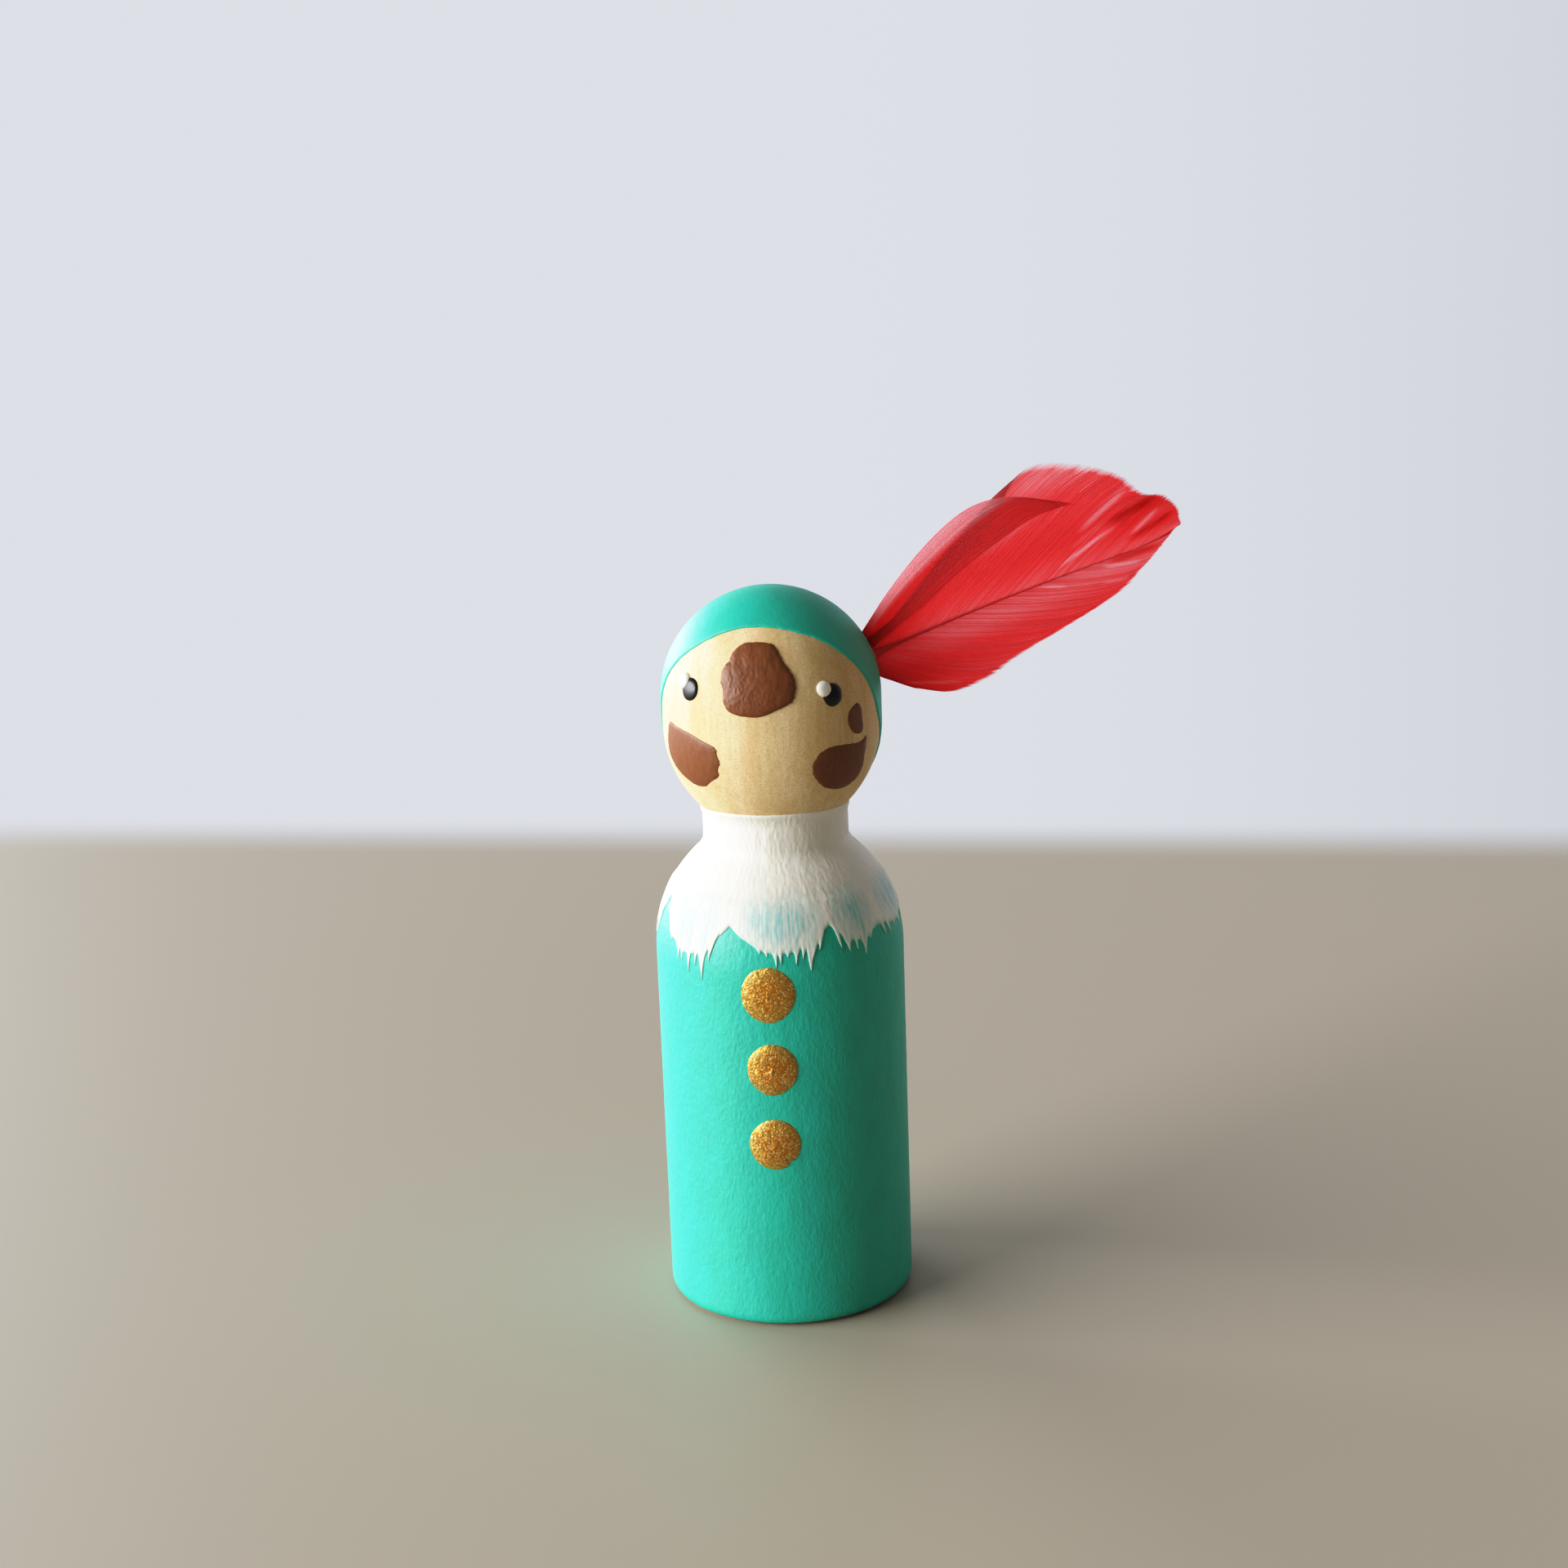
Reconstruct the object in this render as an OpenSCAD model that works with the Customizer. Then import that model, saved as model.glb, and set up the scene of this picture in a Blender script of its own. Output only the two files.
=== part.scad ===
// Hand-painted wooden peg doll with a dyed feather in the side of its head.
// A turned blank stands on its flat base. Paint films and drops of paint lie on the wood, and the
// feather's quill is glued into a small drilled hole.
// The origin is the centre of the base. +Z is up, and the face looks along -Y.
// Left and right are as seen by someone who looks at the face.

/* [Turned blank] */
// Height from the base to the top of the head
doll_h = 65; // [64:0.5:68]
// Radius of the body
body_r = 11; // [10.8:0.1:11.6]
// Radius of the arc that carries the shoulder in to the neck
shoulder_r = 12; // [11.5:0.25:13]
// Radius of the neck
neck_r = 6.3; // [6:0.1:6.8]
// Height at which the shoulder meets the neck
neck_low = 42.15; // [41.5:0.05:42.5]
// Radius of the head
head_r = 9.6; // [9.4:0.1:9.8]
// Radius of the slightly flatter arc under the widest part of the head
jaw_r = 10.3; // [10:0.1:10.6]
// Length of the straight band between the ball of the head and the jaw arc
cheek_h = 2.3; // [2:0.1:2.6]
// Radius of the softened edge around the base
base_edge_r = 1; // [0.6:0.1:1.2]

/* [Paint] */
// Thickness of the teal paint on the body and the cap
coat_t = 0.12; // [0.08:0.01:0.2]
// Thickness of the white paint over the neck and shoulder
collar_t = 0.16; // [0.1:0.01:0.25]
// Height at which the teal paint of the body starts, on the softened edge of the base
coat_low = 0.2; // [0.1:0.05:0.5]
// Height to which the teal paint runs up under the white
coat_high = 39; // [38.5:0.25:40]
// Lowest height of the unbroken white above the brush dabs
collar_low = 37; // [36.8:0.1:37.4]
// Gap of bare wood between the white on the neck and the cap's edge at the back
cap_gap = 0.5; // [0.3:0.1:1]
// Angle by which the cap's edge leans back from level
cap_tilt = 61.4; // [58:0.2:64]
// Distance of the cap's edge plane from the centre of the head
cap_offset = -2.05; // [-2.4:0.05:-1.6]
// Thickness of the heavy brown patch on the forehead
brow_t = 0.3; // [0.2:0.05:0.4]
// Thickness of the brown patches on the cheeks
cheek_t = 0.12; // [0.08:0.01:0.2]
// Turn of the patch on the left cheek
left_cheek_turn = -44; // [-48:1:-40]
// Turn of the patch on the right cheek
right_cheek_turn = 46; // [42:1:50]
// Turn of the small patch under the right eye
small_turn = 56; // [53:1:59]

/* [Drops] */
// Diameters of the three gold drops, from the top down
button_d = [4.8, 4.5, 4.5];
// Heights of the three gold drops, from the top down
button_z = [31.3, 24.45, 17.5];
// Turn of the gold drops from the front, from the top down
button_turn = [0.4, 1.1, 1.1];
// How far a gold drop stands out of the paint
button_rise = 0.6; // [0.4:0.05:0.8]
// Diameter of an eye
eye_d = 1.95; // [1.7:0.05:2.2]
// How far an eye stands out of the wood
eye_rise = 0.3; // [0.2:0.05:0.4]
// Diameter of the white glint on an eye
glint_d = 1.4; // [1.2:0.05:1.5]
// How far a glint stands out of the wood
glint_rise = 0.4; // [0.3:0.05:0.5]
// Turn and height above the head's centre of the left eye
left_eye_at = [-40.8, 2.15];
// Turn and height above the head's centre of the right eye
right_eye_at = [40.4, 1.55];
// Turn and rise of each glint from its eye
glint_shift = [-5.2, 0.65];

/* [Feather] */
// Turn of the quill from the front, towards the right
feather_turn = 109.5; // [100:0.5:115]
// Rise of the quill above level
feather_rise = 17; // [12:0.5:22]
// Turn of the vanes about the quill
feather_roll = -16; // [-25:1:0]
// Length of the shaft outside the head
shaft_len = 29; // [26:0.5:30]
// Diameter of the quill where it enters the head
quill_d = 0.9; // [0.7:0.05:1.2]
// Diameter of the shaft at its tip
shaft_tip_d = 0.25; // [0.2:0.05:0.4]
// Depth of the drilled hole for the quill
socket_depth = 5; // [3:0.5:6]
// Thickness of a vane
vane_t = 0.4; // [0.3:0.05:0.6]
// Radius of the glue bead around the quill
glue_r = 1.3; // [1:0.1:1.6]

/* [Hidden] */
$fn = 180;

wood = "#e2c896";
teal = "#1fb39a";
white = "#f2efe4";
gold = "#c8983c";
black = "#15171a";
brown = "#7a4a30";
red = "#d33240";
glue_clear = "#e8dfc8";

// Height of the centre of the head's ball, and of the widest part above the jaw arc
head_z = doll_h - head_r;
jaw_z = head_z - cheek_h;
// Height at which the straight body gives way to the shoulder arc
shoulder_run = shoulder_r - body_r + neck_r;
shoulder_z = neck_low - sqrt(shoulder_r * shoulder_r - shoulder_run * shoulder_run);
// Height at which the jaw arc meets the neck
jaw_run = jaw_r - head_r + neck_r;
neck_high = jaw_z - sqrt(jaw_r * jaw_r - jaw_run * jaw_run);
// A size larger than the doll, for cutting shapes
big = 80;

// Outlines of the brown patches: sideways distance, and height above the head's centre
brow_outline = [
    [-1.4, 6.1], [-0.4, 6.25], [0.7, 6.15], [1.5, 5.7], [2.3, 4.6], [3.1, 3.4], [3.05, 2.1],
    [2.1, 0.9], [0.1, 0.25], [-2, 0.4], [-3, 1.2], [-3.1, 2.4], [-3.15, 3.5], [-2.6, 4.8]
];
left_cheek_outline = [
    [-2.9, -1.5], [-2, -1.2], [0.3, -1.7], [2.6, -2.4], [3.4, -3.2], [3.3, -4.4], [2.8, -5.6],
    [1.2, -6.5], [-0.2, -6.5], [-1.5, -6], [-2.7, -5.3], [-3.5, -4.1]
];
right_cheek_outline = [
    [2.9, -2.9], [1.5, -3.05], [0, -2.9], [-1.4, -3], [-2.4, -3.3], [-2.95, -4.2], [-2.7, -5.4],
    [-1.5, -6.6], [0, -7.1], [1.2, -7.1], [2.4, -6.5], [2.95, -5.3]
];
small_outline = [
    [0, 0.35], [0.6, 0], [0.8, -1.2], [0.8, -2.2], [-0.2, -2.3], [-0.9, -1.6], [-1.1, -0.8], [-0.8, 0]
];

// Brush dabs of the white hem: turn of the middle, width as an angle, and height of the tips
hem_dabs = [
    [-40, 50, 32.3], [8, 50, 33.3], [45, 34, 34], [79, 40, 34.5], [118, 40, 33.6],
    [156, 40, 34.3], [195, 42, 33.2], [236, 44, 34.2], [274, 42, 34.6]
];

// Vane outlines in the feather's plane: distance along the quill, and distance above it
lower_outline = [
    [0.4, 0], [0.4, -2], [2.1, -4], [4.4, -5.4], [6.4, -5.8], [9.5, -5.5], [12.3, -4.9], [15, -4.3],
    [18.8, -3.9], [21.5, -3.4], [24, -2.7], [25.6, -1.9], [28, -0.9], [30, 0]
];
upper_outline = [
    [0.4, 0], [0.4, 1.6], [6, 4.6], [12, 7.2], [16.4, 8.9], [18.3, 9.8], [20, 10.2], [21.6, 10.1],
    [24.1, 9], [26.1, 7.7], [27.9, 5.9], [28.9, 4], [30.3, 3.6], [31, 2.6], [31, 1.2], [30, 0]
];
front_outline = [
    [0.4, 0.3], [0.4, 2.1], [2.9, 4.3], [5.6, 5.9], [8, 7.1], [10.6, 8], [14.2, 8.6], [16.4, 8.6],
    [18.8, 7.5], [21.3, 6.3], [18.7, 6.2], [15.7, 5.8], [12.5, 4.7], [8, 2.5]
];

// Point at t from p1 to p2 on the smooth curve through four points in a row
function curve_point(p0, p1, p2, p3, t) =
    (2 * p1 + (p2 - p0) * t + (2 * p0 - 5 * p1 + 4 * p2 - p3) * t * t
    + (3 * p1 - p0 - 3 * p2 + p3) * t * t * t) / 2;

// Closed smooth outline through the points, with this many steps between two of them
function smooth(points, steps = 3) =
    [for (i = [0 : len(points) - 1], s = [0 : steps - 1])
        let (n = len(points))
        curve_point(points[(i + n - 1) % n], points[i], points[(i + 1) % n], points[(i + 2) % n], s / steps)];

// Radius of the head at a height above its centre, on the ball or on the jaw arc
function head_radius(h) =
    h >= 0 ? sqrt(head_r * head_r - h * h)
    : h >= -cheek_h ? head_r
    : head_r - jaw_r + sqrt(jaw_r * jaw_r - pow(h + cheek_h, 2));

// Half of the turned outline, with every face moved outwards by grow
module half_outline(grow = 0) {
    intersection() {
        square([2 * body_r, doll_h + grow]);
        union() {
            translate([0, head_z])
                circle(r = head_r + grow);
            translate([0, jaw_z])
                square([head_r + grow, cheek_h]);
            intersection() {
                translate([head_r - jaw_r, jaw_z])
                    circle(r = jaw_r + grow);
                square([2 * body_r, jaw_z]);
            }
            square([neck_r + grow, jaw_z]);
            intersection() {
                translate([body_r - shoulder_r, shoulder_z])
                    circle(r = shoulder_r + grow);
                translate([0, shoulder_z])
                    square([2 * body_r, shoulder_r]);
            }
            translate([0, base_edge_r])
                square([body_r + grow, shoulder_z - base_edge_r]);
            square([body_r - base_edge_r, shoulder_z]);
            translate([body_r - base_edge_r, base_edge_r])
                circle(r = base_edge_r + grow);
        }
    }
}

// Turned solid of the outline
module turned(grow = 0) {
    rotate_extrude()
        half_outline(grow);
}

// Film of paint between two distances from the wood, over a range of heights
module film(inner, outer, low, high) {
    rotate_extrude()
        intersection() {
            difference() {
                half_outline(outer);
                half_outline(inner);
            }
            translate([0, low])
                square([2 * body_r, high - low]);
        }
}

// Straight block with this outline, that runs out from the axis through the side at this turn
module outwards(turn) {
    rotate([90, 0, turn])
        linear_extrude(height = 2 * body_r)
            children();
}

// Brown patch: the part of a film on the head that lies inside an outline
module patch(outline, turn, thickness) {
    intersection() {
        film(0, thickness, neck_low, doll_h);
        translate([0, 0, head_z])
            outwards(turn)
                polygon(smooth(outline));
    }
}

// Domed drop of paint with a round foot, on a surface that is this far from the axis, with the
// wood cut away. The ball's radius follows from the width and the rise of the dome, and the ball
// is a little wider than the foot, so the drop's edge is a low step.
module drop(turn, height, surface_r, lean, width, rise, grow) {
    ball_w = width * 1.08;
    ball_r = (ball_w * ball_w / 4 + rise * rise) / (2 * rise);
    difference() {
        rotate([0, 0, turn])
            translate([0, -surface_r, height])
                rotate([-lean, 0, 0])
                    intersection() {
                        translate([0, ball_r - rise, 0])
                            sphere(r = ball_r);
                        rotate([90, 0, 0])
                            cylinder(r = width / 2, h = 4 * rise, center = true);
                    }
        turned(grow);
    }
}

// Drop on the head at a turn and a height above its centre
module head_drop(at, width, rise) {
    drop(at[0], head_z + at[1], head_radius(at[1]), asin(at[1] / head_r), width, rise, 0);
}

// Gold drop on the painted body
module button(i) {
    color(gold)
        drop(button_turn[i], button_z[i], body_r + coat_t, 0, button_d[i], button_rise, coat_t);
}

// Eye: a black drop
module eye(at) {
    color(black)
        head_drop(at, eye_d, eye_rise);
}

// Glint: a white drop that overlaps its eye
module glint(at) {
    color(white)
        difference() {
            head_drop(at + glint_shift, glint_d, glint_rise);
            head_drop(at, eye_d, eye_rise);
        }
}

// Frame of the feather: X runs out along the quill from the head, and Z lies across the vanes
module at_feather() {
    translate([0, 0, head_z])
        rotate([0, -feather_rise, feather_turn - 90])
            rotate([feather_roll, 0, 0])
                translate([head_r, 0, 0])
                    children();
}

// Quill: a straight end in the socket, and a shaft that tapers to its tip
module quill_shape() {
    rotate([0, 90, 0]) {
        translate([0, 0, -socket_depth])
            cylinder(r = quill_d / 2, h = socket_depth);
        cylinder(r1 = quill_d / 2, r2 = shaft_tip_d / 2, h = shaft_len);
    }
}

// Flat vane between two distances in front of the feather's plane, clear of the shaft
module vane(outline, back, front) {
    at_feather()
        difference() {
            translate([0, -back, 0])
                rotate([90, 0, 0])
                    linear_extrude(height = front - back)
                        polygon(outline);
            quill_shape();
        }
}

// Cap side of the plane that the cap's edge follows on the head
module cap_side() {
    translate([0, 0, head_z])
        rotate([-cap_tilt, 0, 0])
            translate([-big / 2, -big / 2, cap_offset])
                cube(big);
}

// Leaf-shaped brush dab of the hem, from the unbroken white down to its tip
module dab(turn, width, tip_z) {
    half = body_r * sin(width / 2);
    top = collar_low + 1;
    drop_h = top - tip_z;
    outwards(turn)
        polygon([
            [-half, top], [-half * 0.94, top - drop_h * 0.45], [-half * 0.6, top - drop_h * 0.9],
            [-half * 0.15, top - drop_h], [half * 0.3, top - drop_h * 0.97],
            [half * 0.7, top - drop_h * 0.82], [half * 0.96, top - drop_h * 0.4], [half, top]
        ]);
}

// Turned wooden blank with the drilled socket for the quill
module peg_blank() {
    color(wood)
        difference() {
            turned();
            at_feather()
                quill_shape();
        }
}

// Teal paint from the edge of the base to under the white
module body_coat() {
    color(teal)
        film(0, coat_t, coat_low, coat_high);
}

// Teal paint over the top and back of the head
module cap_coat() {
    color(teal)
        difference() {
            intersection() {
                film(0, coat_t, neck_high + cap_gap, doll_h + coat_t);
                cap_side();
            }
            at_feather()
                quill_shape();
        }
}

// White paint on the neck and shoulder, with its hem of brush dabs over the teal
module collar_coat() {
    color(white)
        intersection() {
            difference() {
                film(0, coat_t + collar_t, coat_low, neck_high);
                film(0, coat_t, coat_low, coat_high);
            }
            union() {
                translate([-big / 2, -big / 2, collar_low])
                    cube(big);
                for (d = hem_dabs)
                    dab(d[0], d[1], d[2]);
            }
        }
}

// Heavy brown patch on the forehead
module brow_patch() {
    color(brown)
        patch(brow_outline, 0, brow_t);
}

// Brown patch on the left cheek
module left_cheek_patch() {
    color(brown)
        patch(left_cheek_outline, left_cheek_turn, cheek_t);
}

// Brown patch on the right cheek
module right_cheek_patch() {
    color(brown)
        patch(right_cheek_outline, right_cheek_turn, cheek_t);
}

// Small brown patch under the right eye
module small_cheek_patch() {
    color(brown)
        patch(small_outline, small_turn, cheek_t);
}

// Quill and shaft of the feather
module feather_quill() {
    color(red)
        at_feather()
            quill_shape();
}

// Narrow vane below the shaft
module feather_lower_vane() {
    color(red)
        vane(lower_outline, -vane_t / 2, vane_t / 2);
}

// Broad vane above the shaft
module feather_upper_vane() {
    color(red)
        vane(upper_outline, -vane_t / 2, vane_t / 2);
}

// Folded lobe of barbs from the base of the upper vane, which lies in front of it
module feather_front_lobe() {
    color(red)
        vane(front_outline, vane_t / 2, vane_t * 1.5);
}

// Bead of clear glue around the quill where it enters the head
module glue_bead() {
    color(glue_clear)
        difference() {
            at_feather()
                sphere(r = glue_r);
            turned(coat_t);
            at_feather()
                quill_shape();
            vane(lower_outline, -vane_t / 2, vane_t / 2);
            vane(upper_outline, -vane_t / 2, vane_t / 2);
            vane(front_outline, vane_t / 2, vane_t * 1.5);
        }
}

peg_blank();
body_coat();
cap_coat();
collar_coat();
button(0);  // button_upper
button(1);  // button_middle
button(2);  // button_lower
eye(left_eye_at);  // left_eye
eye(right_eye_at);  // right_eye
glint(left_eye_at);  // left_eye_glint
glint(right_eye_at);  // right_eye_glint
brow_patch();
left_cheek_patch();
right_cheek_patch();
small_cheek_patch();
feather_quill();
feather_lower_vane();
feather_upper_vane();
feather_front_lobe();
glue_bead();
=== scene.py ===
# Looks of a hand-painted wooden peg doll with a dyed red feather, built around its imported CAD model.
# Sizes are in millimetres and become metres when a mesh is made. +Z is up and the face looks along -Y.
# A turn is an angle about the doll's axis, counted from the face towards the right of someone facing it.
import math

import bpy
import numpy as np
from mathutils import Matrix, Vector


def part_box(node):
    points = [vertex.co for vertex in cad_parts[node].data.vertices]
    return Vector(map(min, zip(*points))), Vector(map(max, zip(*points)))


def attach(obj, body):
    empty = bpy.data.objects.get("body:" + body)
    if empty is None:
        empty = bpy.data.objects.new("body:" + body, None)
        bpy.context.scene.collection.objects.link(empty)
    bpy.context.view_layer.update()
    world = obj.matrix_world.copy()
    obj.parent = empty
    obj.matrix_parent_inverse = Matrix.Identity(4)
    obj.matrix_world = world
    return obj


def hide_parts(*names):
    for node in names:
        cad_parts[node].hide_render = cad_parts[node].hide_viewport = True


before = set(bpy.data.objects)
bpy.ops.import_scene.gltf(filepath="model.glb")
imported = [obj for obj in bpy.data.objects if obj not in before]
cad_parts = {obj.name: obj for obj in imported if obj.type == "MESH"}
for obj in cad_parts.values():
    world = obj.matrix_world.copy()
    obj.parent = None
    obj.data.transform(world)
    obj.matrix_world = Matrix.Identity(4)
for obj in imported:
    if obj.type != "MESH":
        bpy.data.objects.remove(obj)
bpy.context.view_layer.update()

MM = 0.001


# ---- Turned blank ----
# One piece of birch turned on a lathe: a straight body, an arc for the shoulder, a neck and a ball of a head.
# It is sanded smooth and left bare on the face, where its fine upright grain shows.

blank_low, blank_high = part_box("peg_blank")
BODY_R = (blank_high[0] - blank_low[0]) / 2 / MM
DOLL_H = blank_high[2] / MM
EDGE_R = 1.0
SHOULDER_R = 12.0
NECK_R = 6.3
NECK_LOW = 42.15
HEAD_R = 9.6
JAW_R = 10.3
HEAD_Z = DOLL_H - HEAD_R
JAW_Z = HEAD_Z - 2.3
SHOULDER_Z = NECK_LOW - math.sqrt(SHOULDER_R**2 - (SHOULDER_R - BODY_R + NECK_R) ** 2)
NECK_HIGH = JAW_Z - math.sqrt(JAW_R**2 - (JAW_R - HEAD_R + NECK_R) ** 2)
WOOD_COLUMNS = 360
WOOD_ROWS = 260


def wall(z):
    """Radius of the turned outline at each height, and the outward and upward parts of its direction out.
    Straight stretches keep one radius. On an arc the radius is its centre's plus the root of the arc's
    radius squared less the height from its centre squared."""
    z = np.asarray(z, float)
    arcs = [
        (z < EDGE_R, BODY_R - EDGE_R, EDGE_R, EDGE_R),
        ((z >= SHOULDER_Z) & (z < NECK_LOW), BODY_R - SHOULDER_R, SHOULDER_Z, SHOULDER_R),
        ((z >= NECK_HIGH) & (z < JAW_Z), HEAD_R - JAW_R, JAW_Z, JAW_R),
        (z >= HEAD_Z, 0.0, HEAD_Z, HEAD_R),
    ]
    radius = np.where(z < NECK_LOW, BODY_R, np.where(z < NECK_HIGH, NECK_R, HEAD_R))
    out, up = np.ones_like(z), np.zeros_like(z)
    for inside, centre_r, centre_z, arc_r in arcs:
        rise = np.clip((z - centre_z) / arc_r, -1, 1)
        run = np.sqrt(1 - rise**2)
        radius = np.where(inside, centre_r + arc_r * run, radius)
        out = np.where(inside, run, out)
        up = np.where(inside, rise, up)
    return radius, out, up


def on_wall(turn, z, lift=0.0):
    """Points at a turn and a height on the turned outline, moved straight out of it by lift."""
    radius, out, up = wall(z)
    radius = radius + lift * out
    return np.stack([radius * np.sin(turn), -radius * np.cos(turn), z + lift * up + 0 * turn], axis=-1)


def ripple(u, v, cells, seed):
    """Smooth noise from -1 to 1 at u and v, which run from 0 to 1: random values on a lattice of cells,
    blended by smooth steps. It closes on itself along u."""
    wide, high = cells
    lattice = np.random.default_rng(seed).uniform(-1, 1, (wide, high + 2))
    a, b = (u % 1) * wide, np.clip(v, 0, 1) * high
    i, j = a.astype(int) % wide, b.astype(int)
    a, b = a - np.floor(a), b - np.floor(b)
    a, b = a * a * (3 - 2 * a), b * b * (3 - 2 * b)
    near = lattice[i, j] * (1 - a) + lattice[(i + 1) % wide, j] * a
    far = lattice[i, j + 1] * (1 - a) + lattice[(i + 1) % wide, j + 1] * a
    return near * (1 - b) + far * b


def surface(name, grid, around=True, looped=False, capped=(False, False), flip=False, values=None):
    """Object whose mesh is a grid of points, rows by columns, with quads between neighbours. Columns meet
    round the grid when around is set, and rows when looped is. A capped first or last row closes on its
    middle point. values are attributes, each a number for every point of the grid."""
    rows, columns = grid.shape[:2]
    points = [grid.reshape(-1, 3)]
    index = np.arange(rows * columns).reshape(rows, columns)
    if looped:
        index = np.vstack([index, index[:1]])
    if around:
        index = np.hstack([index, index[:, :1]])
    quads = np.stack([index[:-1, :-1], index[:-1, 1:], index[1:, 1:], index[1:, :-1]], axis=-1)
    faces = [quads.reshape(-1, 4)]
    for end, row in ((0, index[0]), (1, index[-1][::-1])):
        if capped[end]:
            middle = np.full(len(row) - 1, rows * columns + len(points) - 1)
            points.append(grid[-end].mean(0)[None])
            faces.append(np.stack([middle, row[1:], row[:-1]], axis=-1))
    if flip:
        faces = [part[:, ::-1] for part in faces]
    mesh = bpy.data.meshes.new(name)
    mesh.from_pydata((np.vstack(points) * MM).tolist(), [], sum((part.tolist() for part in faces), []))
    for key, value in (values or {}).items():
        whole = np.broadcast_to(value, (rows, columns))
        ends = [whole[-end].mean() for end in (0, 1) if capped[end]]
        data = mesh.attributes.new(key, "FLOAT", "POINT").data
        data.foreach_set("value", np.concatenate([whole.ravel(), ends]).astype(np.float32))
    mesh.shade_smooth()
    piece = bpy.data.objects.new(name, mesh)
    bpy.context.scene.collection.objects.link(piece)
    return piece


def fit(piece, finish, slot, *nodes):
    """Gives a piece its material and puts it in the place of its CAD nodes. The slot argument is not used."""
    piece.data.materials.append(finish)
    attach(piece, "root")
    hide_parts(*nodes)


def linear(code):
    """Linear colour of an sRGB hex colour."""
    c = np.array([int(code[i:i + 2], 16) for i in (1, 3, 5)]) / 255
    return (*np.where(c <= 0.04045, c / 12.92, ((c + 0.055) / 1.055) ** 2.4), 1.0)


def add(tree, kind, inputs, **settings):
    """Adds a node with its settings. Each input is a value, or a node and its output to link from."""
    node = tree.nodes.new(kind)
    for key, value in settings.items():
        setattr(node, key, value)
    for key, value in inputs.items():
        if isinstance(value, tuple) and isinstance(value[0], bpy.types.Node):
            tree.links.new(value[0].outputs[value[1]], node.inputs[key])
        else:
            node.inputs[key].default_value = value
    return node


def blend(tree, share, first, second):
    """Adds a node that mixes two colours, with this share of the second."""
    return add(tree, "ShaderNodeMix", {0: share, 6: first, 7: second}, data_type="RGBA")


def noise(tree, place, scale, detail, roughness=0.5):
    """Adds a noise texture, with scale in cells a metre and this many finer layers of detail."""
    inputs = {"Vector": place, "Scale": scale, "Detail": detail, "Roughness": roughness}
    return add(tree, "ShaderNodeTexNoise", inputs)


def remap(tree, value, low=0.0, high=1.0, to_low=0.0, to_high=1.0, **settings):
    """Adds a node that takes values from low to high to the range from to_low to to_high."""
    inputs = {0: value, 1: low, 2: high, 3: to_low, 4: to_high}
    return add(tree, "ShaderNodeMapRange", inputs, **settings)


def material(name):
    """New material with an empty node tree."""
    made = bpy.data.materials.new(name)
    made.use_nodes = True
    made.node_tree.nodes.clear()
    return made, made.node_tree


def turned_birch():
    """Bare birch, turned and sanded: pale, with upright fibres about 0.3 mm wide, soft darker streaks and
    short fine pores. It has no varnish, so it is matt."""
    made, tree = material("turned_birch")
    place = add(tree, "ShaderNodeTexCoord", {})
    long_fibre = add(tree, "ShaderNodeMapping", {0: (place, "Object"), "Scale": (1, 1, 0.1)})
    fibre = noise(tree, (long_fibre, 0), 2600, 3, 0.6)
    streak = noise(tree, (long_fibre, 0), 420, 2)
    fleck = noise(tree, (place, "Object"), 5600, 2)
    grain = remap(tree, (fibre, 0), 0.35, 0.7)
    bands = remap(tree, (streak, 0), 0.35, 0.68)
    pale = blend(tree, (bands, 0), linear("#f0d9ab"), linear("#dfbf88"))
    thin = add(tree, "ShaderNodeMath", {0: (grain, 0), 1: 0.35}, operation="MULTIPLY")
    lined = blend(tree, (thin, 0), (pale, 2), linear("#c79f66"))
    speck = remap(tree, (fleck, 0), 0.42, 0.72, to_high=0.42)
    worn = blend(tree, (speck, 0), (lined, 2), linear("#b98d55"))
    relief = add(tree, "ShaderNodeBump", {"Strength": 0.35, "Distance": 0.00003, "Height": (fibre, 0)})
    shader = add(
        tree, "ShaderNodeBsdfPrincipled",
        {"Base Color": (worn, 2), "Roughness": 0.62, "IOR": 1.5, "Normal": (relief, 0)},
    )
    add(tree, "ShaderNodeOutputMaterial", {"Surface": (shader, 0)})
    return made


turn = np.linspace(0, 2 * math.pi, WOOD_COLUMNS, endpoint=False)[None, :]
side_z = np.concatenate([
    EDGE_R * (1 - np.cos(np.linspace(0, math.pi / 2, 10))),
    np.linspace(EDGE_R, HEAD_Z, WOOD_ROWS)[1:],
    HEAD_Z + HEAD_R * np.sin(np.linspace(0, math.pi / 2, 70)[1:-1]),
])[:, None]
fibres = ripple(turn / (2 * math.pi), side_z / DOLL_H, (240, 60), 3)
blank = surface("turned_blank", on_wall(turn, side_z, 0.004 * fibres), capped=(True, True), flip=True)
fit(blank, turned_birch(), "turned_wood", "peg_blank")


# ---- Teal paint on the body ----
# Satin acrylic craft paint, brushed on upright in two coats from the edge of the base to the shoulder.
# It has dried over the raised grain, so the film has fine upright bumps.

COAT_T = 0.12
COAT_LOW = 0.2
COAT_HIGH = 39.0
COAT_COLUMNS = 480
COAT_ROWS = 180
INNER_ROWS = 24


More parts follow.
